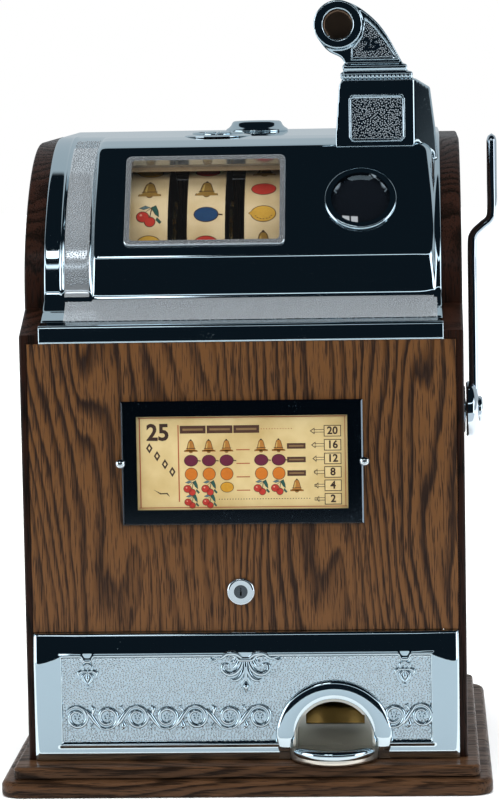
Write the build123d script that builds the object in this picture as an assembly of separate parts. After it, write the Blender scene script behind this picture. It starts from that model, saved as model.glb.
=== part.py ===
"""Counter-top mechanical slot machine: oak case, chromed castings, side lever and three reels.

The model is drawn from the front face of the case: X is across (the lever is on +X), Y runs back
from that face, Z is up from the surface that the plinth stands on. save() then moves every piece
back so that the origin is the centre of the plinth's underside. All sizes are in millimetres.
"""

from build123d import *
import math
import os

# ---- driving dimensions ---------------------------------------------------------------------
case_width = 356.0
case_depth = 352.0
board = 16.0                 # thickness of the side boards
base_height = 23.0
base_side = 19.5             # how far the plinth stands out at the sides, front and back
base_front = 42.0
base_back = 16.0
ledge_front_z = 369.0        # top of the vertical front edge of the side boards
ledge_depth = 44.0           # the boards step back here before they curve up
board_ledge_rise = 18.0      # from the front edge up to the foot of the curve
low_arc = 88.0               # radius of the curve above the ledge
high_arc = 167.0             # radius of the curve that runs into the flat top
lean = 35.0                  # slope of the reel face, degrees from vertical
case_top = 517.0             # flat top of the side boards
casting_proud = 4.0          # the upper casting stands this far over the boards
wall = 5.0                   # casting wall
gap = 0.3                    # clearance between pieces that are fitted together
panel_thick = 12.0
board_lip = 6.0              # what shows of each board beside the front panel
lower_casting_top = 127.8
panel_top = 362.0

reel_radius = 82.0
reel_width = 31.0
reel_pitch = 47.0
reel_centre_x = -30.5        # middle reel
reel_stops = 20
reel_shaft_r = 5.0
index_radius = 52.0

lever_y = 140.0              # lever shaft axis, behind the case front
lever_z = 290.0
lever_shaft_r = 8.0
running = 0.05               # radial clearance of a shaft in its bore

# ---- values that follow -----------------------------------------------------------------------
half = case_width / 2
inner = half - board                         # inner face of a side board
base_width = case_width + 2 * base_side
base_depth = case_depth + base_front + base_back
base_centre_y = (case_depth + base_back - base_front) / 2
case_bottom = base_height
high_centre_z = case_top - high_arc
turn = math.radians(lean)
# the low and the high arc meet where both lean by the reel face's angle
high_centre_y = ledge_depth + 3 + low_arc * (1 - math.cos(turn)) + high_arc * math.cos(turn)
low_centre_y = ledge_depth + 3 + low_arc
join_y = high_centre_y - high_arc * math.cos(turn)
join_z = high_centre_z + high_arc * math.sin(turn)
low_centre_z = join_z - low_arc * math.sin(turn)

os.makedirs("parts", exist_ok=True)


# ---- helpers ----------------------------------------------------------------------------------
def save(name, *solids):
    """Writes one node: every solid in it, moved so that the plinth's centre is the origin."""
    shift = Location((0, -base_centre_y, 0))
    pieces = [s for shape in solids for s in shape.solids()]
    moved = [s.moved(shift) for s in pieces]
    export_step(moved[0] if len(moved) == 1 else Compound(moved), f"parts/{name}.step")


def block(x0, x1, y0, y1, z0, z1):
    """A box between two corners."""
    centre = Location(((x0 + x1) / 2, (y0 + y1) / 2, (z0 + z1) / 2))
    return centre * Box(x1 - x0, y1 - y0, z1 - z0)


def side_outline(points):
    """A face in the YZ plane from (y, z) points."""
    return make_face(Polyline([(0, y, z) for y, z in points], close=True))


def along_x(face, x0, x1):
    """Extrudes a YZ face from x0 to x1."""
    solid = extrude(face, amount=x1 - x0, dir=(1, 0, 0))
    return solid.moved(Location((x0, 0, 0)))


def front_outline(points):
    """A face in the XZ plane from (x, z) points."""
    return make_face(Polyline([(x, 0, z) for x, z in points], close=True))


def along_y(face, y0, y1):
    """Extrudes an XZ face from y0 to y1."""
    solid = extrude(face, amount=y1 - y0, dir=(0, 1, 0))
    return solid.moved(Location((0, y0, 0)))


def rod_x(radius, x0, x1, y, z):
    """A round bar along X."""
    return Location(((x0 + x1) / 2, y, z), (0, 90, 0)) * Cylinder(radius, x1 - x0)


def rod_y(radius, y0, y1, x, z):
    """A round bar along Y."""
    return Location((x, (y0 + y1) / 2, z), (90, 0, 0)) * Cylinder(radius, y1 - y0)


def rod_z(radius, z0, z1, x, y):
    """A round bar along Z."""
    return Location((x, y, (z0 + z1) / 2)) * Cylinder(radius, z1 - z0)


def soften(solid, radius, pick):
    """Fillets the edges that pick() chooses."""
    return fillet(pick(solid), radius)


def case_side(offset, front_y, front_z, rise, back_y, bottom_z):
    """The case seen from the side, offset outwards from the boards' own curve."""
    top_z = case_top + offset
    low_r = low_arc + offset
    high_r = high_arc + offset
    foot_y = low_centre_y - low_r
    start = (0, foot_y, low_centre_z)
    meet = (0, high_centre_y - high_r * math.cos(turn), high_centre_z + high_r * math.sin(turn))
    crown = (0, high_centre_y, top_z)
    half_turn = turn / 2
    low_mid = (0, low_centre_y - low_r * math.cos(half_turn), low_centre_z + low_r * math.sin(half_turn))
    high_turn = (turn + math.pi / 2) / 2
    high_mid = (0, high_centre_y - high_r * math.cos(high_turn), high_centre_z + high_r * math.sin(high_turn))
    step_z = front_z + rise * (foot_y - front_y) / (ledge_depth + 3)
    edges = [
        Line((0, front_y, bottom_z), (0, front_y, front_z)),
        Line((0, front_y, front_z), (0, foot_y, step_z)),
        Line((0, foot_y, step_z), start),
        ThreePointArc(start, low_mid, meet),
        ThreePointArc(meet, high_mid, crown),
        Line(crown, (0, back_y, top_z)),
        Line((0, back_y, top_z), (0, back_y, bottom_z)),
        Line((0, back_y, bottom_z), (0, front_y, bottom_z)),
    ]
    return make_face(Wire(edges))


# ---- plinth -----------------------------------------------------------------------------------
slab_z = 13.0                # rounded lower member
groove = 1.6
bead_inset = 10.0
plinth_corner = 18.0


def plinth_layer(inset, z0, z1, round_over):
    body = block(-base_width / 2 + inset, base_width / 2 - inset,
                 -base_front + inset, case_depth + base_back - inset, z0, z1)
    body = fillet(body.edges().filter_by(Axis.Z), plinth_corner - inset)
    if round_over:
        body = fillet(body.edges().group_by(Axis.Z)[-1], round_over)
    return body


plinth = plinth_layer(0, 0, slab_z, 5.0)
plinth = fillet(plinth.edges().group_by(Axis.Z)[0], 2.5)
plinth = plinth + plinth_layer(bead_inset + 1.5, slab_z - 1, slab_z + groove, 0)
plinth = plinth + plinth_layer(bead_inset, slab_z + groove, base_height, 3.0)
save("base_plinth", plinth)

# ---- side boards ------------------------------------------------------------------------------
rebate_depth = panel_thick - 1 + gap
bush_r = 13.0
board_face = case_side(0, 0, ledge_front_z, board_ledge_rise, case_depth, case_bottom)


def side_board(sign):
    x0, x1 = (inner, half) if sign > 0 else (-half, -inner)
    body = along_x(board_face, x0, x1)
    outer = body.faces().sort_by(Axis.X)[-1 if sign > 0 else 0]
    body = fillet(outer.edges().filter_by(lambda e: e.center().Z > case_bottom + 1), 2.5)
    lip = half - board_lip
    rebate = block(inner - 1, lip, -1, rebate_depth, case_bottom - 1, panel_top)
    if sign < 0:
        rebate = block(-lip, -inner + 1, -1, rebate_depth, case_bottom - 1, panel_top)
    return body - rebate


left_board = side_board(-1)
right_board = side_board(1) - rod_x(bush_r, inner - 1, half + 1, lever_y, lever_z)
save("side_board_left", left_board)
save("side_board_right", right_board)

# ---- front panel, its lock and the award card -----------------------------------------------
lock_x, lock_z = -3.0, 160.2
lock_body_r = 9.0
lock_flange_r = 11.4
award_z = 265.0
award_screw_x = 98.0
award_screw_r = 1.8
panel_half = half - board_lip - gap
panel_back = panel_thick - 1
panel = block(-panel_half, panel_half, -1, panel_back, lower_casting_top + gap, panel_top - gap)
panel = panel - rod_y(lock_body_r + gap / 2, -2, panel_thick, lock_x, lock_z)
for side in (-1, 1):
    panel = panel - rod_y(award_screw_r, -2, panel_thick - 3, side * award_screw_x, award_z)
save("front_panel", panel)

barrel_end = 22.0
plug_r = 5.5
key_slot = (1.4, 6.5)
barrel = rod_y(lock_body_r, -1, barrel_end, lock_x, lock_z)
flange = rod_y(lock_flange_r, -4.5, -1, lock_x, lock_z)
flange = fillet(flange.edges().group_by(Axis.Y)[0], 2.2)
barrel = barrel + flange - rod_y(plug_r + running, -6, barrel_end + 1, lock_x, lock_z)
save("front_lock_barrel", barrel)
plug = rod_y(plug_r, -4.2, barrel_end + 4, lock_x, lock_z)
plug = plug - block(lock_x - key_slot[0] / 2, lock_x + key_slot[0] / 2, -5, 6,
                    lock_z - key_slot[1] / 2, lock_z + key_slot[1] / 2)
cam_tang_r = 3.0
plug = plug - (rod_y(plug_r + 1, barrel_end + 0.5, barrel_end + 5, lock_x, lock_z)
               - rod_y(cam_tang_r, barrel_end, barrel_end + 6, lock_x, lock_z))
save("front_lock_plug", plug)
cam_y0 = barrel_end + 0.8
cam_y1 = cam_y0 + 2.4
cam_reach = 23.0


def lock_cam(x, z, y0, y1, reach, upwards=True):
    """A flat cam with a round eye; it lies along +Z, or along -Z."""
    sign = 1 if upwards else -1
    tongue = block(x - 4.5, x + 4.5, y0, y1, min(z, z + sign * reach), max(z, z + sign * reach))
    eye = rod_y(7.0, y0, y1, x, z)
    return tongue + eye - rod_y(cam_tang_r, y0 - 1, y1 + 1, x, z)


save("front_lock_cam", lock_cam(lock_x, lock_z, cam_y0, cam_y1, cam_reach))

frame_half_x, frame_half_z = 96.8, 50.0
frame_bar = 12.3
frame_front = -5.4
card_thick = 0.8
card_margin = 3.0
frame = block(-frame_half_x, frame_half_x, frame_front, -1, award_z - frame_half_z, award_z + frame_half_z)
sight = block(-frame_half_x + frame_bar, frame_half_x - frame_bar, frame_front - 1, 0,
              award_z - frame_half_z + frame_bar, award_z + frame_half_z - frame_bar)
frame = frame - sight
frame = chamfer(frame.faces().sort_by(Axis.Y)[0].outer_wire().edges(), 1.2)
card_x = frame_half_x - frame_bar + card_margin
card_z = frame_half_z - frame_bar + card_margin
frame = frame - block(-card_x - gap, card_x + gap, -1 - card_thick - gap, 0,
                      award_z - card_z - gap, award_z + card_z + gap)
for side in (-1, 1):
    frame = frame - rod_y(award_screw_r + 0.6, frame_front - 1, 0, side * award_screw_x, award_z)
save("award_frame", frame)
save("award_card", block(-card_x, card_x, -1 - card_thick, -1, award_z - card_z, award_z + card_z))
screws = []
for side in (-1, 1):
    head = Location((side * award_screw_x, frame_front, award_z), (90, 0, 0)) * Sphere(
        4.4, arc_size1=0)
    head = head & block(side * award_screw_x - 5, side * award_screw_x + 5, frame_front - 4,
                        frame_front, award_z - 5, award_z + 5)
    screws.append(head + rod_y(award_screw_r - 0.1, frame_front - 0.5, panel_thick - 4,
                               side * award_screw_x, award_z))
save("award_screws", *screws)

# ---- upper casting: one chromed shell from the front ledge, over the reels, to the back --------
lip_front = -1.0
casting_ledge_z = 376.0
casting_ledge_rise = 7.5
casting_back = case_depth
crease_y, crease_z = 39.0, 427.5     # the reel block's front edge
block_left, block_right = -121.0, inner - 6.0
block_corner = 12.0                  # flat on the block's right-hand edges
flange = 4.0                         # side flanges, screwed to the boards
flange_depth = 14.0
flange_end_y = case_depth - 24.0
face = Plane(origin=(0, crease_y, crease_z), x_dir=(1, 0, 0),
             z_dir=(0, -math.cos(turn), math.sin(turn)))
face_top_y = 100.0
face_top_z = crease_z + (face_top_y - crease_y) / math.tan(turn)


def on_face(u, v, w=0):
    """A place on the sloping reel face: u across, v up the slope, w out of it."""
    return face.location * Location((u, v, w))


def inset(points, depth):
    """A convex outline moved inwards by depth; points run clockwise seen with y to the right."""
    edges = []
    count = len(points)
    for i in range(count):
        (ya, za), (yb, zb) = points[i], points[(i + 1) % count]
        length = math.hypot(yb - ya, zb - za)
        ny, nz = (zb - za) / length, -(yb - ya) / length
        edges.append((ya + ny * depth, za + nz * depth, yb - ya, zb - za))
    out = []
    for i in range(count):
        ya, za, dya, dza = edges[i - 1]
        yb, zb, dyb, dzb = edges[i]
        t = ((yb - ya) * dzb - (zb - za) * dyb) / (dya * dzb - dza * dyb)
        out.append((ya + t * dya, za + t * dza))
    return out


roof_z = case_top + casting_proud
block_outline = [
    (60, 380),
    (43.5, 386),
    (crease_y + 0.4, 398),
    (crease_y, crease_z),
    (face_top_y, face_top_z),
    (120, roof_z - 1.6),
    (150, roof_z),
    (230, roof_z),
    (230, 380),
]
outer_shell = along_x(case_side(casting_proud, lip_front, casting_ledge_z, casting_ledge_rise,
                                casting_back, panel_top), -inner, inner)
outer_block = along_x(side_outline(block_outline), block_left, block_right)
right_face = outer_block.faces().sort_by(Axis.X)[-1]
right_edges = right_face.edges().filter_by(lambda e: e.center().Y < 112 and e.center().Z > 400)
outer_block = chamfer(right_edges, block_corner)
casting_outside = outer_shell + outer_block
inner_shell = along_x(case_side(casting_proud - wall, lip_front + wall, casting_ledge_z - wall,
                                casting_ledge_rise, casting_back + 1, panel_top - 1), -inner - 1, inner + 1)
inner_block = along_x(side_outline(inset(block_outline, wall)), block_left + wall,
                      block_right - block_corner - 1)
casting = casting_outside - inner_shell - inner_block
flange_space = along_x(case_side(casting_proud - flange_depth, lip_front + flange_depth,
                                 casting_ledge_z - flange_depth, casting_ledge_rise,
                                 casting_back + 1, panel_top - 1), -inner - 1, inner + 1)
flange_ring = (outer_shell - flange_space) & block(-inner, inner, -5, flange_end_y, panel_top, 600)
flange_ring = flange_ring - block(-inner + flange, inner - flange, -10, 400, 0, 700)
casting = casting + flange_ring

# openings in the reel face, and the coin way under the coin head
window_u = reel_centre_x
window_v = 53.4
window_w, window_h = 127.0, 82.0
coin_u, coin_v = 96.4, 52.7
coin_hole_r = 26.2
channel_w, channel_t = 26.0, 2.8
channel_y = 106.4                    # front of the coin channel in the coin head
channel_x = 99.5
casting = casting - on_face(window_u, window_v) * Box(window_w, window_h, 30)
casting = casting - on_face(coin_u, coin_v) * Cylinder(coin_hole_r, 30)
casting = casting - block(channel_x - channel_w / 2, channel_x + channel_w / 2,
                          channel_y, channel_y + channel_t, 495, 530)
screw_r = 2.0
casting_screw_at = [
    (low_centre_y - 81.5 * math.cos(0.17), low_centre_z + 81.5 * math.sin(0.17)),
    (250.0, case_top - 6.5),
]
casting_screws = []
for screw_y, screw_z in casting_screw_at:
    for side in (-1, 1):
        hole = rod_x(screw_r, side * (inner - flange - 1), side * (inner + 9), screw_y, screw_z) \
            if side > 0 else rod_x(screw_r, -inner - 9, -inner + flange + 1, screw_y, screw_z)
        casting = casting - hole
        left_board = left_board - hole
        right_board = right_board - hole
        head_x = sorted((side * (inner - flange), side * (inner - flange - 2.6)))
        shank_x = sorted((side * (inner - flange - 0.5), side * (inner + 8)))
        casting_screws.append(rod_x(4.0, head_x[0], head_x[1], screw_y, screw_z)
                              + rod_x(screw_r - 0.1, shank_x[0], shank_x[1], screw_y, screw_z))
save("upper_casting", casting)
save("casting_screws", *casting_screws)
save("side_board_left", left_board)
save("side_board_right", right_board)

# ---- window frame, glass, coin window -------------------------------------------------------
bezel_depth = 11.0
bezel_lip = 2.2
sight_w, sight_h = window_w - 5, window_h - 5
glass_w, glass_h = window_w - 3, window_h - 3
glass_t = 2.0
lip_plate = Box(window_w + 4, window_h + 4, bezel_lip)
lip_plate = fillet(lip_plate.edges().filter_by(Axis.Z), 5)
lip_plate = fillet(lip_plate.edges().group_by(Axis.Z)[-1], 1.2)
bezel = Location((0, 0, bezel_lip / 2)) * lip_plate
bezel = bezel + Location((0, 0, -bezel_depth / 2)) * Box(window_w - 2 * gap, window_h - 2 * gap, bezel_depth)
opening = fillet(Box(sight_w, sight_h, 60).edges().filter_by(Axis.Z), 3)
bezel = bezel - opening
bezel = bezel - Location((0, 0, -bezel_depth)) * Box(glass_w, glass_h, 2 * (bezel_depth - 5))
save("window_bezel", on_face(window_u, window_v) * bezel)
save("window_glass", on_face(window_u, window_v, -5 - glass_t / 2)
     * Box(glass_w - 2 * gap, glass_h - 2 * gap, glass_t))

coin_flange_r = coin_hole_r + 3.4
lens_r = coin_hole_r - 2.3
ring = Location((0, 0, 1.5)) * fillet(Cylinder(coin_flange_r, 3).edges().group_by(Axis.Z)[-1], 2.2)
ring = ring + Location((0, 0, -6)) * Cylinder(coin_hole_r - gap, 12)
ring = ring - Cylinder(lens_r - 2, 60) - Location((0, 0, 27)) * Cylinder(lens_r + 0.1, 60)
save("coin_window_ring", on_face(coin_u, coin_v) * ring)
lens_rise = 3.4
lens_ball = (lens_r ** 2 + lens_rise ** 2) / (2 * lens_rise)
lens = Cylinder(lens_r, 1.5)
lens = lens + (Location((0, 0, 0.75 + lens_rise - lens_ball)) * Sphere(lens_ball)
               & Location((0, 0, 0.75 + 5)) * Cylinder(lens_r, 10))
save("coin_window_lens", on_face(coin_u, coin_v, -3 + 0.75) * lens)

# ---- coin head (gooseneck) ------------------------------------------------------------------
chest_front, chest_back = 98.0, 150.0
chest_right = inner - 2.0
chest_turn_x = chest_right - 20.0    # the chest's right side slants back from here
neck_front, neck_back = 102.0, 124.0
ring_x, ring_z = 79.1, 612.4
ring_r, coin_r = 20.0, 12.3
recess = 10.0
chest_z = [(75.5, 500), (76.2, 522), (79.5, 563), (82, 567), (142, 567), (chest_right - 6, 559.5),
           (chest_right - 2, 527), (chest_right, 500)]
chest = along_y(front_outline(chest_z), chest_front, chest_back)
plan = make_face(Polyline([(75, chest_front, 0), (chest_turn_x, chest_front, 0),
                           (chest_right + 1, chest_front + 20, 0), (chest_right + 1, chest_back, 0),
                           (70, chest_back, 0), (72, chest_front + 6, 0)], close=True))
chest = chest & Location((0, 0, 490)) * extrude(plan, amount=90, dir=(0, 0, 1))
left_side = [(81.5, 565), (83.7, 572), (84.3, 580), (80.7, 585.5), (74.5, 588.5), (65.5, 596.5), (60.2, 606)]
right_side = [(81, 632), (91, 629.2), (101.2, 622.8), (111.5, 613.4), (121.7, 598.8), (131.8, 580), (142, 565)]
neck_edges = [
    Spline(*[(x, 0, z) for x, z in left_side]),
    Line((60.2, 0, 606), (81, 0, 632)),
    Spline(*[(x, 0, z) for x, z in right_side]),
    Line((142, 0, 565), (81.5, 0, 565)),
]
neck = along_y(make_face(Wire(neck_edges)), neck_front, neck_back)
neck = neck + rod_y(ring_r, neck_front - 2.5, neck_back + 1, ring_x, ring_z)
for bar_z, bar_h, proud, x0, x1 in ((577, 5.0, 2.6, 82.2, 135.5), (570.5, 5.6, 3.4, 80.4, 140)):
    bar = block(x0, x1, neck_front - proud, neck_back + proud, bar_z - bar_h / 2, bar_z + bar_h / 2)
    neck = neck + fillet(bar.edges(), 1.8)
field = front_outline([(90, 583.5), (128, 583.5), (119, 598), (109.5, 610.5), (101.5, 617.5), (98.5, 603),
                       (90.5, 592.5)])
neck = neck - along_y(field, neck_front - 1, neck_front + 1.2)
panel_cut = block(88, 132.5, chest_front - 1, chest_front + 1.6, 517, 554)
panel_cut = fillet(panel_cut.edges().filter_by(Axis.Y), 3)
head = chest + neck - panel_cut
head = head - rod_y(coin_r, 0, channel_y + channel_t, ring_x, ring_z)
bend_z = 580.0
slope = math.degrees(math.atan2(channel_x - ring_x, ring_z - bend_z))
run = math.hypot(channel_x - ring_x, ring_z - bend_z)
mid_y = channel_y + channel_t / 2
slanted = Location(((ring_x + channel_x) / 2, mid_y, (ring_z + bend_z) / 2), (0, -slope, 0)) \
    * Box(2 * coin_r, channel_t, run)
head = head - slanted - rod_y(coin_r, channel_y, channel_y + channel_t, channel_x, bend_z)
head = head - block(channel_x - coin_r, channel_x + coin_r, channel_y, channel_y + channel_t, 490, bend_z)
head = head - block(82, 136, channel_y + channel_t + 5, chest_back - 5, 490, 560)
head = head - casting_outside
save("coin_head", head.solids().sort_by(SortBy.VOLUME)[-1])

# ---- crest and top cap ------------------------------------------------------------------------
crest = Location((-24.5, 166, roof_z + 1)) * extrude(Ellipse(28.5, 34), amount=1.0, both=True)
crest = chamfer(crest.edges().group_by(Axis.Z)[-1], 0.8)
crest = crest + Location((-24.5, 166, roof_z + 2)) * extrude(Ellipse(21, 26), amount=2.2, taper=35)
save("crest_ornament", crest)
cap = Location((2, 300, roof_z + 1.2)) * Cylinder(27.4, 2.4)
cap = cap + Location((2, 300, roof_z + 2.4 + 3.4)) * Cone(25, 16.3, 6.8)
save("top_cap", cap)

# ---- lower casting and payout cup -----------------------------------------------------------
low_half = half - board_lip
low_front = -8.0
low_wall = 4.0
cup_x, cup_z = 70.5, 41.0
cup_r = 30.0
surround_r = cup_r + 16.5
low = block(-low_half, low_half, low_front, rebate_depth - gap, case_bottom, lower_casting_top)
low = fillet(low.faces().sort_by(Axis.Y)[0].edges().filter_by(
    lambda e: e.center().Z > case_bottom + 1), 3.5)
low = low - block(-low_half + low_wall, low_half - low_wall, low_front + low_wall, 40,
                  case_bottom + low_wall, lower_casting_top - low_wall)
field_cut = block(-152, 150, low_front - 1, low_front + 1.4, 38, 110)
field_cut = fillet(field_cut.edges().filter_by(Axis.Y), 4)
low = low - field_cut
arch = rod_y(surround_r, low_front - 1.0, low_front + 2, cup_x, cup_z + 0.5)
arch = chamfer(arch.edges().group_by(Axis.Y)[0], 1.8)
low = low + (arch & block(0, 140, -30, 10, 32, 140))
niche = rod_y(cup_r + 3.2, -30, 30, cup_x, cup_z) + block(cup_x - cup_r - 3.2, cup_x + cup_r + 3.2, -30, 30, 5, cup_z)
low = low - niche
save("lower_casting", low)

# the cup: a niche behind the arch and a half-round tray in front of it
niche_back = 36.0
tray_r = cup_r + 6.2
tray_y = -1.0
floor_z = case_bottom + 3.5
rim_z = 34.0


def arch_solid(radius, y0, y1, bottom):
    dome = rod_y(radius, y0, y1, cup_x, cup_z) & block(0, 200, -99, 99, cup_z, 200)
    return dome + block(cup_x - radius, cup_x + radius, y0, y1, bottom, cup_z)


cup = arch_solid(cup_r + 3, low_front - 1.5, niche_back, case_bottom)
tray = rod_z(tray_r, case_bottom, rim_z, cup_x, tray_y) & block(0, 200, -99, low_front - 1, 0, 99)
tray = fillet(tray.edges().group_by(Axis.Z)[0].filter_by(GeomType.CIRCLE), 3)
cup = cup + tray
cup = cup - arch_solid(cup_r, low_front - 2, niche_back - 3, floor_z)
cup = cup - (rod_z(tray_r - 4, floor_z, 60, cup_x, tray_y) & block(0, 200, -99, 5, 0, 99))
coin_way = (cup_r - 6.0, 44.0, 66.0)        # half width, bottom and top of the way in from the chute
cup = cup - block(cup_x - coin_way[0], cup_x + coin_way[0], niche_back - 4, niche_back + 1,
                  coin_way[1], coin_way[2])
save("payout_cup", cup)

# ---- case framing -----------------------------------------------------------------------------
rail_t = 20.0
top_rail_z = 478.0
bottom_rail_z = 45.0
roof_inside = roof_z - wall
save("rear_rails",
     block(-inner, inner, case_depth - rail_t, case_depth, top_rail_z, roof_inside),
     block(-inner, inner, case_depth - rail_t, case_depth, case_bottom, bottom_rail_z))
shelf_z = 208.0
cleat = (12.0, 18.0)
save("shelf_cleats",
     block(-inner, -inner + cleat[0], 40, 325, shelf_z - cleat[1], shelf_z),
     block(inner - cleat[0], inner, 40, 325, shelf_z - cleat[1], shelf_z))

# ---- reel mechanism -----------------------------------------------------------------------------
reel_gap = 14.0                      # reel face to the back of the sloping face
reel_axis = on_face(window_u, window_v, -(reel_radius + reel_gap)).position
reel_y, reel_z = reel_axis.Y, reel_axis.Z
plate_t = 8.0
deck = shelf_z + plate_t
tube_x, tube_y = 76.0, mid_y
slide_half = 14.9
slide_t = 4.0
payout_stroke = 28.0
rail_h = 8.0
base_plate = block(-inner + 1, inner - 1, 50, 320, shelf_z, deck)
base_plate = base_plate - rod_z(coin_r + 0.4, shelf_z - 1, deck + 1, tube_x, tube_y - payout_stroke)
for x0, x1 in ((tube_x - 19, tube_x - 15), (tube_x + 15, tube_x + 19)):
    base_plate = base_plate + block(x0, x1, 62, 152, deck, deck + rail_h)
base_plate = base_plate + block(lock_x - 12, lock_x + 12, 50, 54, shelf_z - 20, shelf_z)
save("mech_base", base_plate)

upright_t = 5.0
upright_x = (-108.0, 48.0)
stop_rod_r = 3.0
stop_reach = 80.0
stop_y, stop_z = reel_y + index_radius, reel_z - stop_reach
upright_outline = [
    (100, deck), (236, deck), (218, stop_z + 8), (208, stop_z + 16), (194, stop_z + 16),
    (reel_y + 16, reel_z + 12), (reel_y, reel_z + 18), (reel_y - 16, reel_z + 12), (112, 300),
]
tie_at = ((118.0, 240.0), (222.0, 240.0))
tie_r = 4.0
for name, x0 in (("left", upright_x[0]), ("right", upright_x[1])):
    upright = along_x(side_outline(upright_outline), x0, x0 + upright_t)
    upright = upright - rod_x(reel_shaft_r + 0.02, x0 - 1, x0 + 9, reel_y, reel_z)
    upright = upright - rod_x(stop_rod_r + 0.02, x0 - 1, x0 + 9, stop_y, stop_z)
    if name == "right":
        upright = upright - rod_x(lever_shaft_r + running, x0 - 1, x0 + 9, lever_y, lever_z)
    for tie_y, tie_z in tie_at:
        upright = upright - rod_x(tie_r + 0.02, x0 - 1, x0 + 9, tie_y, tie_z)
    save(f"frame_upright_{name}", upright)
span = (upright_x[0], upright_x[1] + upright_t)
save("frame_tie_rods", *[rod_x(tie_r, span[0] - 3, span[1] + 3, y, z) for y, z in tie_at])
save("reel_shaft", rod_x(reel_shaft_r, span[0] - 4, span[1] + 4, reel_y, reel_z))
save("stop_lever_rod", rod_x(stop_rod_r, span[0] - 3, span[1] + 3, stop_y, stop_z))

rim_t = 1.5
strip_t = 0.8
hub_r = 9.0
star_offset = 17.0
star_t = 3.0
notch_depth = 6.0
drum_r = reel_radius - strip_t
for index, name in enumerate(("left", "middle", "right")):
    cx = reel_centre_x + (index - 1) * reel_pitch
    drum = rod_x(drum_r, cx - reel_width / 2, cx + reel_width / 2, reel_y, reel_z)
    drum = drum - rod_x(drum_r - rim_t, cx - 99, cx - 1, reel_y, reel_z)
    drum = drum - rod_x(drum_r - rim_t, cx + 1, cx + 99, reel_y, reel_z)
    for hole in range(6):
        turn_by = math.radians(30 + 60 * hole)
        drum = drum - rod_x(15, cx - 9, cx + 9, reel_y + 44 * math.cos(turn_by), reel_z + 44 * math.sin(turn_by))
    drum = drum + rod_x(hub_r, cx - reel_pitch / 2 + 0.1, cx + reel_pitch / 2 - 0.1, reel_y, reel_z)
    drum = drum + rod_x(hub_r + 7, cx + star_offset - 1.5, cx + star_offset, reel_y, reel_z)
    drum = drum - rod_x(reel_shaft_r + running, cx - 50, cx + 50, reel_y, reel_z)
    save(f"reel_drum_{name}", drum)
    strip = rod_x(reel_radius, cx - reel_width / 2, cx + reel_width / 2, reel_y, reel_z)
    strip = strip - rod_x(drum_r + 0.02, cx - 50, cx + 50, reel_y, reel_z)
    save(f"reel_strip_{name}", strip)
    star_points = []
    for stop in range(reel_stops):
        for part, radius in ((-0.32, index_radius), (0, index_radius - notch_depth), (0.32, index_radius)):
            a = (stop + part) * 2 * math.pi / reel_stops
            star_points.append((reel_y + radius * math.cos(a), reel_z + radius * math.sin(a)))
    star = along_x(side_outline(star_points), cx + star_offset, cx + star_offset + star_t)
    star = star - rod_x(hub_r + 0.03, cx, cx + 60, reel_y, reel_z)
    save(f"index_wheel_{name}", star)
    # stop lever, drawn engaged and then leaned back to rest
    stop_lean = 6.0
    sx0 = cx + star_offset
    tip_y = stop_y - notch_depth + 1.0
    lever = [(stop_y - 4, stop_z), (stop_y + 6, stop_z), (stop_y + 7, stop_z + 60), (stop_y + 8, reel_z + 8),
             (stop_y + 2.5, reel_z + 8), (stop_y + 2, reel_z + 3), (tip_y, reel_z + 0.6), (tip_y, reel_z - 0.6),
             (stop_y + 2, reel_z - 3), (stop_y + 0.5, stop_z + 60)]
    lever = along_x(side_outline(lever), sx0, sx0 + star_t)
    lever = lever + rod_x(6.5, sx0 - 2, sx0 + star_t + 2, stop_y, stop_z)
    lever = lever - rod_x(stop_rod_r + running, sx0 - 9, sx0 + 20, stop_y, stop_z)
    back = Location((0, stop_y, stop_z)) * Location((0, 0, 0), (-stop_lean, 0, 0)) * Location((0, -stop_y, -stop_z))
    save(f"stop_lever_{name}", back * lever)

# ---- coin way: chute, coin tube, payout slide, payout chute, cash box ----------------------------
tube_r, tube_t = 14.2, 1.4
tube_top = 300.0
chute_top = 506.0
chute_run = math.hypot(channel_x - tube_x, chute_top - tube_top)
chute_tilt = math.degrees(math.atan2(channel_x - tube_x, chute_top - tube_top))
chute_at = Location(((channel_x + tube_x) / 2, mid_y, (chute_top + tube_top) / 2), (0, chute_tilt, 0))
chute = Box(channel_w + 3, channel_t + 3.4, chute_run - 6) - Box(channel_w, channel_t + 0.8, chute_run)
chute = chute - Location((0, -3, 55)) * Cylinder(8, 6, rotation=(90, 0, 0))
foot_plate = Location((tube_x, tube_y, tube_top + 1)) * Box(32, 30, 2)
chute = chute_at * chute
chute = chute + foot_plate - rod_z(coin_r, tube_top - 1, tube_top + 3, tube_x, tube_y)
save("coin_chute", chute - chute_at * Box(channel_w, channel_t + 0.8, chute_run + 30))
tube = rod_z(tube_r, deck + slide_t + 0.3, tube_top, tube_x, tube_y)
tube = tube + Location((tube_x, tube_y, deck + rail_h + 1.5)) * Box(38, 34, 3)
tube = tube - rod_z(tube_r - tube_t, deck, tube_top + 1, tube_x, tube_y)
save("coin_tube", tube)
slide = block(tube_x - slide_half, tube_x + slide_half, 74, 162, deck, deck + slide_t)
slide = slide - rod_z(coin_r + 0.4, deck - 1, deck + 9, tube_x, tube_y)
slide = slide + block(tube_x - 6, tube_x + 6, 157, 162, deck, deck + 14)
save("payout_slide", slide)

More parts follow.
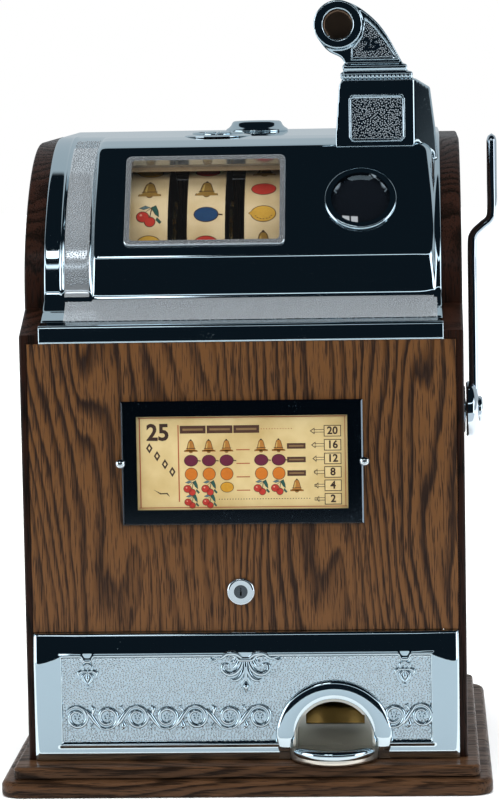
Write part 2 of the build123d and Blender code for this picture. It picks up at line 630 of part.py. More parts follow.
duct_half = 26.5
duct_t = 1.5
duct_y = tube_y - payout_stroke
duct_outline = [(duct_y - 17, shelf_z), (duct_y - 17, 150), (niche_back, coin_way[2] + 1.5),
                (niche_back, coin_way[1] - 1.5), (duct_y + 17, 130), (duct_y + 17, shelf_z)]
duct = along_x(side_outline(duct_outline), cup_x - duct_half, cup_x + duct_half)
duct_hole = [(duct_y - 17 + duct_t, shelf_z + 1), (duct_y - 17 + duct_t, 150.6), (niche_back - 1, coin_way[2] - 0.6),
             (niche_back - 1, coin_way[1] - 1.2), (niche_back + 1, coin_way[1]), (duct_y + 17 - duct_t, 131),
             (duct_y + 17 - duct_t, shelf_z + 1)]
duct = duct - along_x(side_outline(duct_hole), cup_x - duct_half + duct_t, cup_x + duct_half - duct_t)
save("payout_chute", duct)

box_x, box_y, box_z = (-146.0, 26.0), (50.0, 318.0), (case_bottom, 118.0)
box_t = 1.6
cash = block(*box_x, *box_y, *box_z)
cash = cash - block(box_x[0] + box_t, box_x[1] - box_t, box_y[0] + box_t, box_y[1] - box_t,
                    box_z[0] + box_t, box_z[1] + 1)
save("cash_box", cash)

# ---- lever -------------------------------------------------------------------------------------
lever_in, lever_out = half + 3.0, half + 14.0
hub_big = 23.5
bush = rod_x(bush_r - gap / 2, inner - 2, half, lever_y, lever_z)
bush_flange = rod_x(20, half, half + 2.6, lever_y, lever_z)
bush = bush + chamfer(bush_flange.edges().group_by(Axis.X)[-1], 1.0)
save("lever_bushing", bush - rod_x(lever_shaft_r + running, inner - 9, half + 9, lever_y, lever_z))
end_r = 6.0
shaft = rod_x(lever_shaft_r, upright_x[1] - 4, lever_in, lever_y, lever_z)
save("lever_shaft", shaft + rod_x(end_r, lever_in - 1, lever_out + 1.6, lever_y, lever_z))
arm_x = (lever_in + 3.0, lever_out)
grip_x = (lever_in + 19.0, lever_in + 28.2)
lever_top = 520.5
lever_path = [(arm_x[0], lever_z - 8), (arm_x[0], 437), (grip_x[0], 449), (grip_x[0], lever_top),
              (grip_x[1], lever_top), (grip_x[1], 445.5), (arm_x[1], 432.5), (arm_x[1], lever_z - 8)]
lever_w = 9.5
arm = along_y(front_outline(lever_path), lever_y - lever_w, lever_y + lever_w)
arm = fillet(arm.edges().filter_by(lambda e: e.center().Z > lever_z - 7 and abs(e.center().Y - lever_y) > 5), 3.4)
lever_disc = rod_x(hub_big, lever_in, lever_out, lever_y, lever_z)
arm = arm + fillet(lever_disc.edges(), 2.4)
save("lever_arm", arm - rod_x(end_r + 0.05, half, half + 40, lever_y, lever_z))
nut = rod_x(11, lever_out, lever_out + 3.2, lever_y, lever_z)
nut = fillet(nut.edges().group_by(Axis.X)[-1], 2.6)
save("lever_nut", nut - rod_x(end_r + 0.05, lever_out - 1, lever_out + 1.8, lever_y, lever_z))
crank_x = (115.0, 123.0)
crank = rod_x(16, crank_x[0], crank_x[1], lever_y, lever_z)
crank = crank + block(*crank_x, lever_y, lever_y + 46, lever_z - 7, lever_z + 7)
crank = crank + rod_x(9, crank_x[0], crank_x[1], lever_y + 46, lever_z)
save("drive_crank", crank - rod_x(lever_shaft_r + 0.03, 100, 150, lever_y, lever_z))
wire_r, coil_r = 1.3, 11.6
coil_x = (127.0, inner - 6.0)
coil_turns = 7.25                    # ends at the front of the coil, so the leg clears the shaft
path = Location((coil_x[0], lever_y, lever_z), (0, 90, 0)) * Helix((coil_x[1] - coil_x[0]) / coil_turns, coil_x[1] - coil_x[0], coil_r)
start_plane = Plane(origin=path @ 0, z_dir=path % 0)
coil = sweep(start_plane * Circle(wire_r), path=path)
end = path @ 1
leg = Location((end.X, end.Y, (end.Z + deck) / 2)) * Cylinder(wire_r, end.Z - deck)
save("return_spring", coil + leg + Location((end.X, end.Y, end.Z)) * Sphere(wire_r * 1.02))

# ---- back door ----------------------------------------------------------------------------------
door_t = 12.0
door_gap = 0.8
door_z = (bottom_rail_z + 0.8, top_rail_z - 0.8)
door_lock_x, door_lock_z = 138.0, 262.0
door = block(-inner + door_gap, inner - door_gap, case_depth - door_t, case_depth, *door_z)
door_barrel_r = 8.0
door = door - rod_y(door_barrel_r + 0.15, case_depth - door_t - 1, case_depth + 1, door_lock_x, door_lock_z)
save("back_door", door)
hinge_x, hinge_y = -inner + 0.4, case_depth + 3.0
pin_r, knuckle_r = 1.5, 3.0
leaf_t = 1.5
hinge_zs = (120.0, 400.0)
hinge_h = 50.0
fixed, moving, pins = [], [], []
for z in hinge_zs:
    z0, z1 = z - hinge_h / 2, z + hinge_h / 2
    cut0, cut1 = z0 + hinge_h * 0.32, z1 - hinge_h * 0.32
    still = block(hinge_x - 15, hinge_x, case_depth, case_depth + leaf_t, z0, z1)
    still = still + rod_z(knuckle_r, z0, z1, hinge_x, hinge_y)
    still = still - block(hinge_x - 4, hinge_x + 9, case_depth - 1, case_depth + 9, cut0, cut1)
    fixed.append(still - rod_z(pin_r + 0.02, z0 - 1, z1 + 1, hinge_x, hinge_y))
    swing = block(hinge_x, hinge_x + 22, case_depth, case_depth + leaf_t, cut0 + 0.3, cut1 - 0.3)
    swing = swing + block(hinge_x + 4, hinge_x + 22, case_depth, case_depth + leaf_t, z0, z1)
    swing = swing + rod_z(knuckle_r, cut0 + 0.3, cut1 - 0.3, hinge_x, hinge_y)
    moving.append(swing - rod_z(pin_r + running, z0 - 1, z1 + 1, hinge_x, hinge_y))
    pins.append(rod_z(pin_r, z0 - 1.5, z1 + 1.5, hinge_x, hinge_y) + rod_z(2.4, z1 + 0.02, z1 + 1.6, hinge_x, hinge_y))
save("hinge_leaves_fixed", *fixed)
save("hinge_leaves_moving", *moving)
save("hinge_pins", *pins)
door_barrel_in = case_depth - 30.0
door_barrel = rod_y(door_barrel_r, door_barrel_in, case_depth, door_lock_x, door_lock_z)
door_barrel = door_barrel + rod_y(11, case_depth, case_depth + 2.4, door_lock_x, door_lock_z)
door_barrel = door_barrel - rod_y(plug_r + running, door_barrel_in - 1, case_depth + 9, door_lock_x, door_lock_z)
save("door_lock_barrel", door_barrel)
door_plug = rod_y(plug_r, door_barrel_in - 4, case_depth + 2.2, door_lock_x, door_lock_z)
door_plug = door_plug - block(door_lock_x - key_slot[0] / 2, door_lock_x + key_slot[0] / 2, case_depth - 5,
                              case_depth + 5, door_lock_z - key_slot[1] / 2, door_lock_z + key_slot[1] / 2)
door_plug = door_plug + rod_y(7, door_barrel_in - 3, door_barrel_in - 0.5, door_lock_x, door_lock_z)
door_plug = door_plug + block(door_lock_x - 4.5, door_lock_x + 4.5, door_barrel_in - 3, door_barrel_in - 0.5,
                              door_lock_z, door_lock_z + 20)
save("door_lock_plug", door_plug)
keeper = block(door_lock_x + 12, inner, door_barrel_in + 0.5, door_barrel_in + 4, door_lock_z - 15, door_lock_z + 15)
keeper = keeper + block(inner - 2, inner, door_barrel_in - 12, door_barrel_in + 4, door_lock_z - 15, door_lock_z + 15)
save("door_keeper", keeper)
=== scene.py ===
"""Counter-top slot machine: oak case, chromed castings, three reels, side lever."""

import math

import bmesh
import bpy
import numpy as np
from mathutils import Matrix, Vector


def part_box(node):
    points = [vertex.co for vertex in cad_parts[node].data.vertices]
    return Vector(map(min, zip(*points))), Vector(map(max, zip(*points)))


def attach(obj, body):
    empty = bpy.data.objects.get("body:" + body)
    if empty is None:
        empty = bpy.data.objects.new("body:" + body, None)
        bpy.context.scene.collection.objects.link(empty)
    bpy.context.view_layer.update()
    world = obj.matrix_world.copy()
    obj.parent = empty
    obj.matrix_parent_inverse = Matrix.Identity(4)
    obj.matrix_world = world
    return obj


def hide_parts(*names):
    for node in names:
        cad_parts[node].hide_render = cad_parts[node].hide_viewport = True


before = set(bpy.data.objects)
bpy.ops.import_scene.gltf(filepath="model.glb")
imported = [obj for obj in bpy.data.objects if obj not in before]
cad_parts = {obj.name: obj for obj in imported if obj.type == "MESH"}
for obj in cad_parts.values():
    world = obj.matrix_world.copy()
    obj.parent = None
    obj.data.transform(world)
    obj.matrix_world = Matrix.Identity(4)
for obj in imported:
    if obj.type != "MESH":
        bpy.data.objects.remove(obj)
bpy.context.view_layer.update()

# ---- studio -------------------------------------------------------------------------------
# A pale floor that runs to a white distance, a blue-grey card in front that only the mirrors
# and the wood see, and soft lamps. The plated metal mirrors the surround of the world.
scene = bpy.context.scene
scene.view_settings.view_transform = "Standard"
scene.view_settings.look = "None"

lens_at = Vector((0.1435, -2.8347, 0.6015))
pitch, yaw, roll = math.radians(6.4766), math.radians(-2.9414), math.radians(-1.0142)
level_ahead = Vector((math.sin(yaw), math.cos(yaw), 0))
level_right = Vector((math.cos(yaw), -math.sin(yaw), 0))
ahead = level_ahead * math.cos(pitch) - Vector((0, 0, 1)) * math.sin(pitch)
upward = Vector((0, 0, 1)) * math.cos(pitch) + level_ahead * math.sin(pitch)
right = level_right * math.cos(roll) + upward * math.sin(roll)
upward = -level_right * math.sin(roll) + upward * math.cos(roll)


def placed(name, data):
    """An object for a mesh, a lamp or a camera."""
    body = bpy.data.objects.new(name, data)
    scene.collection.objects.link(body)
    return body


camera = placed("camera", bpy.data.cameras.new("camera"))
camera.data.sensor_width = 36
camera.data.lens = 3362.7 * 36 / 800
camera.data.shift_y = 21.1 / 800
camera.data.clip_start = 0.05
camera.data.clip_end = 60
axes = Matrix((right, upward, -ahead)).transposed()
camera.matrix_world = Matrix.Translation(lens_at) @ axes.to_4x4()
scene.camera = camera


def lamp(name, place, target, width, power, tint=(1, 1, 1)):
    """A square soft lamp; mirrors don't show it."""
    light = bpy.data.lights.new(name, "AREA")
    light.size = width
    light.energy = power
    light.color = tint
    body = placed(name, light)
    body.location = place
    aim = Vector(target) - Vector(place)
    body.rotation_euler = aim.to_track_quat("-Z", "Y").to_euler()
    body.visible_glossy = False


lamp("lamp_left", (-1.7, -2.0, 1.5), (0, 0, 0.28), 1.4, 27, (1.0, 0.97, 0.93))
lamp("lamp_right", (1.9, -1.6, 1.3), (0, 0, 0.28), 1.2, 16, (0.96, 0.98, 1.0))
lamp("lamp_back", (0.3, 2.6, 1.6), (0, 0, 0.3), 2.0, 15)
daylight = bpy.data.lights.new("lamp_over", "SUN")
daylight.energy = 4.0
daylight.angle = math.radians(60)
placed("lamp_over", daylight).visible_glossy = False


def plane(name, x0, x1, y0, y1, z):
    """A flat rectangle facing up."""
    mesh = bpy.data.meshes.new(name)
    mesh.from_pydata([(x0, y0, z), (x1, y0, z), (x1, y1, z), (x0, y1, z)], [], [(0, 1, 2, 3)])
    return placed(name, mesh)


def blank_material(name):
    """A new material, its tree and its shader."""
    material = bpy.data.materials.new(name)
    material.use_nodes = True
    return material, material.node_tree, material.node_tree.nodes["Principled BSDF"]


def wire(node, links):
    """Sets a node's sockets by name or number: each to a value, or joined to another socket."""
    for label, value in links:
        if isinstance(value, bpy.types.NodeSocket):
            node.id_data.links.new(value, node.inputs[label])
        else:
            node.inputs[label].default_value = value
    return node


def add(tree, kind, links=(), **settings):
    """Adds a node, sets its properties and then its sockets."""
    node = tree.nodes.new(kind)
    for key, value in settings.items():
        setattr(node, key, value)
    return wire(node, links)


def maths(tree, operation, *values):
    return add(tree, "ShaderNodeMath", enumerate(values), operation=operation).outputs[0]


def mix(tree, factor, a, b, **settings):
    """Mixes two colours, each three values or a socket."""
    ends = [(place, colour if isinstance(colour, bpy.types.NodeSocket) else (*colour, 1))
            for place, colour in ((6, a), (7, b))]
    return add(tree, "ShaderNodeMix", [("Factor", factor)] + ends, data_type="RGBA", **settings).outputs[2]


def plain_stage(name, colour):
    """A matt material for the floor or a card."""
    material, _, shader = blank_material(name)
    wire(shader, [("Base Color", (*colour, 1)), ("Roughness", 0.9), ("Specular IOR Level", 0.1)])
    return material


floor = plane("floor", -6, 6, -0.9, 9, 0)
floor.data.materials.append(plain_stage("floor_white", (0.9, 0.9, 0.9)))
card = plane("front_card", -1.6, 1.6, -1.5, -0.29, 0.0004)
card.data.materials.append(plain_stage("card_grey", (0.41, 0.455, 0.485)))
card.visible_camera = False
card.visible_shadow = False

surround = bpy.data.worlds.new("surround")
scene.world = surround
surround.use_nodes = True
sky = surround.node_tree
sky.nodes.clear()


def sky_ramp(source, low, high):
    """0 below low, 1 above high, smooth between."""
    return add(sky, "ShaderNodeMapRange", [("Value", source), ("From Min", low), ("From Max", high)],
               interpolation_type="SMOOTHSTEP").outputs["Result"]


direction = add(sky, "ShaderNodeTexCoord").outputs["Generated"]
across, deep, high = add(sky, "ShaderNodeSeparateXYZ", [(0, direction)]).outputs
behind = sky_ramp(maths(sky, "SUBTRACT", deep, maths(sky, "MULTIPLY", high, 0.42)), -0.05, 0.05)
colours = mix(sky, behind, (0.006, 0.011, 0.016), (0.50, 0.56, 0.60))


def sky_between(source, low, high, soft):
    """1 between two limits of a direction."""
    return maths(sky, "MULTIPLY", sky_ramp(source, low - soft, low + soft),
                 maths(sky, "SUBTRACT", 1.0, sky_ramp(source, high - soft, high + soft)))


def sky_patch(x0, x1, z0, z1, soft):
    """1 in front of the machine between two sideways and two upward limits of the direction."""
    ahead_of_it = maths(sky, "SUBTRACT", 1.0, sky_ramp(deep, -0.08, 0.04))
    inside = maths(sky, "MULTIPLY", sky_between(across, x0, x1, soft), sky_between(high, z0, z1, soft))
    return maths(sky, "MULTIPLY", inside, ahead_of_it)


side_box_left, side_box_right = (-1.1, -0.80, -0.2, 0.46, 0.02), (0.80, 0.97, -0.2, 0.46, 0.02)
long_strip = (-0.95, 0.95, 0.44, 0.50, 0.02)
window_panes = (-0.34, -0.22, 0.60, 0.70, 0.008), (-0.19, -0.07, 0.60, 0.70, 0.008)
for limits, colour in ((side_box_left, (2.6, 2.8, 3.0)), (side_box_right, (2.4, 2.6, 2.8)),
                       (long_strip, (1.5, 1.7, 1.85)), (window_panes[0], (3.4, 3.6, 3.8)),
                       (window_panes[1], (3.4, 3.6, 3.8))):
    colours = mix(sky, sky_patch(*limits), colours, colour)
seen = add(sky, "ShaderNodeLightPath").outputs["Is Camera Ray"]
glow = add(sky, "ShaderNodeBackground", [("Color", mix(sky, seen, colours, (1, 1, 1)))])
add(sky, "ShaderNodeOutputWorld", [("Surface", glow.outputs[0])])

# ---- plated castings ----------------------------------------------------------------------
# The castings, window ring, coin head and lever are chromium plate over cast metal, buffed to a
# near mirror. Faint waves are left by the wheel, and fine specks where the plate has worn.


def group(name, inputs, outputs):
    """A shader node group with named sockets; returns the tree and its two ends."""
    tree = bpy.data.node_groups.new(name, "ShaderNodeTree")
    for label, kind, value in inputs:
        socket = tree.interface.new_socket(label, in_out="INPUT", socket_type=kind)
        if value is not None:
            socket.default_value = value
    for label, kind in outputs:
        tree.interface.new_socket(label, in_out="OUTPUT", socket_type=kind)
    return tree, tree.nodes.new("NodeGroupInput"), tree.nodes.new("NodeGroupOutput")


def noise(tree, place, scale, detail):
    links = [("Vector", place), ("Scale", scale), ("Detail", detail)]
    return add(tree, "ShaderNodeTexNoise", links).outputs["Fac"]


def remap(tree, value, low=0.0, high=1.0, to_low=0.0, to_high=1.0):
    return add(tree, "ShaderNodeMapRange", [("Value", value), ("From Min", low), ("From Max", high),
               ("To Min", to_low), ("To Max", to_high)]).outputs[0]


def bump(tree, height, distance):
    return add(tree, "ShaderNodeBump", [("Height", height), ("Distance", distance)]).outputs["Normal"]


def object_place(tree):
    return add(tree, "ShaderNodeTexCoord").outputs["Object"]


def chrome_marks():
    """Long polishing waves, with fine specks of wear in patches."""
    tree, start, end = group("plate_marks", [
        ("Wave height", "NodeSocketFloat", 0.4), ("Speck amount", "NodeSocketFloat", 0.3),
        ("Polish", "NodeSocketFloat", 0.05)],
        [("Roughness", "NodeSocketFloat"), ("Height", "NodeSocketFloat")])
    place = object_place(tree)
    speck = remap(tree, noise(tree, place, 900.0, 2.0), 0.68, 0.78)
    where = remap(tree, noise(tree, place, 35.0, 3.0), 0.52, 0.66)
    amount = maths(tree, "MULTIPLY", maths(tree, "MULTIPLY", speck, where), start.outputs["Speck amount"])
    wave = maths(tree, "MULTIPLY", noise(tree, place, 22.0, 1.5), start.outputs["Wave height"])
    wire(end, [("Roughness", maths(tree, "ADD", amount, start.outputs["Polish"])),
               ("Height", maths(tree, "SUBTRACT", wave, amount))])
    return tree


plate_marks = chrome_marks()


def metal(name, colour, polish, wave=0.25, specks=0.25, metallic=1.0):
    """A bright metal with polishing waves and fine specks."""
    material, tree, shader = blank_material(name)
    marks = add(tree, "ShaderNodeGroup", [("Wave height", wave), ("Speck amount", specks), ("Polish", polish)],
                node_tree=plate_marks)
    height = marks.outputs["Height"]
    wire(shader, [("Metallic", metallic), ("Base Color", mix(tree, height, colour, [c * 0.9 for c in colour])),
                  ("Roughness", marks.outputs["Roughness"]), ("Normal", bump(tree, height, 0.00012))])
    return material


def dress(node, *materials):
    """Puts finishes on a CAD node."""
    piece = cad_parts[node]
    for index, material in enumerate(materials):
        if index < len(piece.material_slots):
            piece.material_slots[index].material = material
        else:
            piece.data.materials.append(material)
    for slot in piece.material_slots:
        slot.material = materials[0] if len(materials) == 1 else slot.material

# ---- upper casting ------------------------------------------------------------------------
# One chromed shell: front lip and ledge, a curved band at the left, the raised reel block and
# the flat roof. Its band and ledge strip are pebbled, and a smooth ridge borders the band.
case_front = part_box("front_panel")[0][1] * 1000 + 1.0
window_at, coin_at = (-30.5, 53.4), (96.4, 52.7)
lean = math.radians(35)


def even(points, count, round_off=0.0):
    """Points spaced evenly along a line, its corners rounded over about round_off mm."""
    points = np.array(points, float)
    steps = np.hypot(*np.diff(points, axis=0).T)
    along = np.concatenate(([0], np.cumsum(steps)))
    fine = np.linspace(0, along[-1], int(along[-1] / 0.4) + 2)
    line = np.stack([np.interp(fine, along, points[:, i]) for i in (0, 1)], 1)
    if round_off:
        reach = int(3 * round_off / 0.4)
        weight = np.exp(-0.5 * (np.arange(-reach, reach + 1) * 0.4 / round_off) ** 2)
        weight /= weight.sum()
        before = line[0] - (line[1] - line[0]) * np.arange(reach, 0, -1)[:, None]
        after = line[-1] + (line[-1] - line[-2]) * np.arange(1, reach + 1)[:, None]
        padded = np.concatenate((before, line, after))
        line = np.stack([np.convolve(padded[:, i], weight, "valid") for i in (0, 1)], 1)
    places = np.linspace(0, len(line) - 1, count)
    return np.stack([np.interp(places, np.arange(len(line)), line[:, i]) for i in (0, 1)], 1)


def rise(x, low, high):
    """0 below low, 1 above high, smooth between."""
    t = np.clip((x - low) / (high - low), 0, 1)
    return t * t * (3 - 2 * t)


ledge = [(-1, 362), (-1, 374.8), (0.4, 376.2), (13.6, 378.2), (14.6, 376.9),
         (15.8, 378.5), (30, 386.5), (36.6, 392.5)]
arcs = [(41.4, 396.6)]
arcs += [(135 - 92 * math.cos(a), 395.3 + 92 * math.sin(a)) for a in np.linspace(0.06, lean, 14)]
arcs += [(199.7 - 171 * math.cos(a), 350 + 171 * math.sin(a))
         for a in np.linspace(lean + 0.02, math.pi / 2, 34)]
raised = [(38.8, 396.0), (39.4, 400), (39.2, 427.5), (100, 514.6), (120, 519.4), (150, 521), (199.7, 521)]
band_line = np.concatenate((even(ledge, 42, 0.5), even([ledge[-1]] + arcs, 125, 1.6)[1:],
                            even([(199.7, 521), (351.5, 521)], 16)[1:]))
block_line = np.concatenate((even(ledge, 42, 0.5), even([ledge[-1]] + raised, 125, 2.4)[1:],
                             even([(199.7, 521), (351.5, 521)], 16)[1:]))
left_step = [(-128, 0), (-126, 0.012), (-124.4, 0.05), (-123.1, 0.13), (-122.2, 0.26), (-121.6, 0.42),
             (-121.2, 0.58), (-120.7, 0.73), (-119.9, 0.86), (-118.6, 0.94), (-116.6, 0.985), (-114, 1)]
right_step = [(140, 1), (143.5, 0.985), (146.6, 0.95), (149.4, 0.88), (151.8, 0.77), (153.6, 0.63),
              (154.8, 0.48), (155.6, 0.32), (156.4, 0.18), (157.4, 0.07), (158.8, 0.015), (160, 0)]
across = np.concatenate((np.linspace(-162, -158.4, 5), np.linspace(-157.5, -149.6, 6),
                         np.linspace(-148.9, -144.6, 10), np.linspace(-143.5, -129, 10),
                         [x for x, _ in left_step], np.linspace(-112, 138, 150),
                         [x for x, _ in right_step], [161, 162]))
blend = np.interp(across, *np.array(left_step + right_step).T)


def casting_points():
    """Every grid point of the outer skin, rows up the profile by columns across, in mm."""
    out = np.zeros((len(band_line), len(across), 3))
    slope = np.gradient(band_line, axis=0)
    normal = np.stack((-slope[:, 1], slope[:, 0]), 1) / np.hypot(*slope.T)[:, None]
    edge = np.minimum(across + 162, 162 - across)
    roll_off = -2.6 * (1 - np.sqrt(1 - (1 - np.clip(edge / 2.6, 0, 1)) ** 2))
    ridge = 1.25 * np.exp(-((across + 146.8) / 1.15) ** 2)
    sunk = -0.5 * rise(across, -145.4, -144.6) * (1 - rise(across, -126, -123))
    row = np.arange(len(band_line))
    on_band = rise(row, 44, 50) * (1 - rise(row, 150, 176))
    for j, x in enumerate(across):
        line = band_line * (1 - blend[j]) + block_line * blend[j]
        lift = roll_off[j] * rise(row, 8, 40) + (ridge[j] + sunk[j]) * on_band * (1 - blend[j])
        line = line + normal * lift[:, None]
        out[:, j, 0] = x
        out[:, j, 1:] = line
    return out


def skin(name, points, drop=None, smooth=True):
    """A quad mesh from a grid of points in mm; drop(centre) leaves a face out."""
    rows, columns = points.shape[:2]
    verts = points.reshape(-1, 3) * 0.001
    verts[:, 1] += case_front * 0.001
    faces = []
    for i in range(rows - 1):
        for j in range(columns - 1):
            corner = (i * columns + j, i * columns + j + 1, (i + 1) * columns + j + 1, (i + 1) * columns + j)
            if drop is None or not drop(points[i:i + 2, j:j + 2].reshape(-1, 3).mean(0)):
                faces.append(corner)
    mesh = bpy.data.meshes.new(name)
    mesh.from_pydata([tuple(v) for v in verts], [], faces)
    mesh.polygons.foreach_set("use_smooth", [smooth] * len(mesh.polygons))
    piece = placed(name, mesh)
    work = bmesh.new()
    work.from_mesh(mesh)
    loose = [v for v in work.verts if not v.link_faces]
    bmesh.ops.delete(work, geom=loose, context="VERTS")
    work.to_mesh(mesh)
    work.free()
    return piece


def thicken(piece, depth):
    """Gives an open skin a wall behind its face."""
    wall = piece.modifiers.new("wall", "SOLIDIFY")
    wall.thickness = depth
    wall.offset = -1
    return bake(piece)


def bake(piece):
    """Applies every modifier, so that the piece is a plain mesh."""
    seen = piece.evaluated_get(bpy.context.evaluated_depsgraph_get())
    mesh = bpy.data.meshes.new_from_object(seen)
    piece.modifiers.clear()
    piece.data = mesh
    return piece


def face_place(point):
    """Across, up the slope and out of the reel face, for a point in mm."""
    y, z = point[1] - 39.0, point[2] - 427.5
    return point[0], y * math.sin(lean) + z * math.cos(lean), -y * math.cos(lean) + z * math.sin(lean)


def in_a_hole(point):
    u, v, w = face_place(point)
    if w < -8 or w > 8:
        return False
    if abs(u - window_at[0]) < 63.0 and abs(v - window_at[1]) < 40.6:
        return True
    return math.hypot(u - coin_at[0], v - coin_at[1]) < 27.6


grid = casting_points()


def in_a_band(point):
    """True where the casting is left pebbled instead of polished; the point is in metres."""
    x, y, z = point[0] * 1000, point[1] * 1000 - case_front, point[2] * 1000
    strip = -143.5 < x < 157.5 and 15.6 < y < 37.2 and z < 394
    return strip or (-144.8 < x < -124.2 and z > 396 and y < 150)


chrome = metal("chrome", (0.56, 0.66, 0.71), 0.045)
casting = thicken(skin("casting_shell", grid, in_a_hole), 0.0036)
casting.data.materials.append(chrome)
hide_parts("upper_casting")
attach(casting, "cabinet")


def pebble_tree():
    """Scatters flattened pebbles over a surface: spacing, size and height are its inputs."""
    tree = bpy.data.node_groups.new("pebbles", "GeometryNodeTree")
    for label, kind in (("Surface", "NodeSocketGeometry"), ("Spacing", "NodeSocketFloat"),
                        ("Size", "NodeSocketFloat"), ("Height", "NodeSocketFloat"),
                        ("Seed", "NodeSocketInt"), ("Finish", "NodeSocketMaterial")):
        tree.interface.new_socket(label, in_out="INPUT", socket_type=kind)
    tree.interface.new_socket("Pebbles", in_out="OUTPUT", socket_type="NodeSocketGeometry")
    start, end = tree.nodes.new("NodeGroupInput").outputs, tree.nodes.new("NodeGroupOutput")
    dots = add(tree, "GeometryNodeDistributePointsOnFaces", [("Mesh", start["Surface"]),
               ("Distance Min", start["Spacing"]), ("Density Max", 1.2e6), ("Seed", start["Seed"])],
               distribute_method="POISSON")
    pebble = add(tree, "GeometryNodeMeshIcoSphere", [("Radius", 1.0), ("Subdivisions", 1)])
    low = add(tree, "ShaderNodeCombineXYZ", [(0, start["Size"]), (1, start["Size"]), (2, start["Height"])])
    spread = add(tree, "GeometryNodeInstanceOnPoints", [("Points", dots.outputs["Points"]),
                 ("Instance", pebble.outputs["Mesh"]), ("Rotation", dots.outputs["Rotation"]),
                 ("Scale", low.outputs[0])])
    real = add(tree, "GeometryNodeRealizeInstances", [("Geometry", spread.outputs[0])])
    finish = add(tree, "GeometryNodeSetMaterial", [(0, real.outputs[0]), ("Material", start["Finish"])])
    tree.links.new(finish.outputs[0], end.inputs[0])
    return tree


def run_tree(piece, tree, **values):
    """Runs a tree on a piece with its inputs set by name, and keeps the plain mesh."""
    work = piece.modifiers.new("tree", "NODES")
    work.node_group = tree
    for item in tree.interface.items_tree:
        if item.in_out == "INPUT" and item.name in values:
            work[item.identifier] = values[item.name]
    return bake(piece)


pebbles = pebble_tree()
dull_chrome = metal("pebbled_chrome", (0.50, 0.535, 0.56), 0.12, 0.3, 0.5, 0.6)
casting.data.materials.append(dull_chrome)
for face in casting.data.polygons:
    if in_a_band(face.center):
        face.material_index = 1


def pebbled(name, points, spacing, size, height, seed, drop=None, finish=dull_chrome):
    """A patch of pebbles on a grid of points; finish is the metal they are plated with."""
    piece = run_tree(skin(name, points, drop), pebbles, Spacing=spacing, Size=size, Height=height,
                     Seed=seed, Finish=finish)
    piece.data.polygons.foreach_set("use_smooth", [True] * len(piece.data.polygons))
    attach(piece, "cabinet")
    return piece


band_columns = [j for j, x in enumerate(across) if -144.6 < x < -124.0]
pebbled("band_pebbles", grid[50:150][:, band_columns], 0.00150, 0.00080, 0.00046, 3)
strip_columns = [j for j, x in enumerate(across) if -143.5 < x < 157.5]
pebbled("ledge_pebbles", grid[23:42][:, strip_columns], 0.00150, 0.00080, 0.00046, 5)

# ---- reel window and coin window ------------------------------------------------------------
# A chromed frame pressed into the reel face with a flat pane behind it, and a round chromed ring
# that holds a domed lens over the last coins played, made opaque and near-black: painted shade for the unlit
# inside.
dress("window_bezel", metal("frame_chrome", (0.74, 0.77, 0.79), 0.15, metallic=0.86))
dress("coin_window_ring", chrome)


def dust_tree():
    """Fine dust that dulls a smooth face in specks."""
    tree, start, end = group("dust", [("Polish", "NodeSocketFloat", 0.02)],
                             [("Roughness", "NodeSocketFloat"), ("Amount", "NodeSocketFloat")])
    amount = noise(tree, object_place(tree), 260.0, 4.0)
    dulled = remap(tree, amount, 0.55, 0.8, 0.0, 0.12)
    wire(end, [("Roughness", maths(tree, "ADD", dulled, start.outputs["Polish"])), ("Amount", amount)])
    return tree


dust = dust_tree()


def dusty(name, colour, alpha, polish, bend=1.5):
    """A smooth face under a little dust: clear glass, glass made near-black as painted shade, or card. bend is
    its IOR.
    """
    material, tree, shader = blank_material(name)
    film = add(tree, "ShaderNodeGroup", [("Polish", polish)], node_tree=dust)
    wire(shader, [("Base Color", mix(tree, film.outputs["Amount"], colour, [c * 1.3 for c in colour])),
                  ("Roughness", film.outputs["Roughness"]), ("Alpha", alpha), ("IOR", bend)])
    return material


dress("window_glass", dusty("clear_pane", (0.02, 0.02, 0.02), 0.10, 0.02))
# The lens is opaque near-black glass: its gloss is real, its darkness is painted shade for the unlit inside
# behind a clear lens.
dress("coin_window_lens", dusty("lens_painted_shade", (0.004, 0.005, 0.007), 1.0, 0.012, 2.1))

# ---- window shade ---------------------------------------------------------------------------
# A folded brown card behind the top edge of the reel window. It closes the gap between the
# opening and the reels, and is held by the casting.
shade_half_wide = 62.6
shade_fold = ((-10.0, 89.0), (-10.0, 97.0), (-20.0, 97.0), (-20.0, 96.2), (-10.8, 89.0))
corners = [(u, 39.0 + v * math.sin(lean) - w * math.cos(lean), 427.5 + v * math.cos(lean) + w * math.sin(lean))
           for u in (window_at[0] - shade_half_wide, window_at[0] + shade_half_wide) for w, v in shade_fold]
faces = [(k, (k + 1) % 5, (k + 1) % 5 + 5, k + 5) for k in range(5)] + [(4, 3, 2, 1, 0), (5, 6, 7, 8, 9)]
mesh = bpy.data.meshes.new("window_shade")
mesh.from_pydata([(x * 0.001, (y + case_front) * 0.001, z * 0.001) for x, y, z in corners], [], faces)
work = bmesh.new()
work.from_mesh(mesh)
bmesh.ops.recalc_face_normals(work, faces=work.faces)
work.to_mesh(mesh)
work.free()
shade = placed("window_shade", mesh)
shade.data.materials.append(dusty("brown_card", (0.30, 0.21, 0.12), 1.0, 0.75))
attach(shade, "cabinet")


# ---- coin head ------------------------------------------------------------------------------
# A chromed casting that stands on the roof: a chest with a pebbled panel, two bars across its
# foot, and a swept neck that ends in the ring with the coin slot.


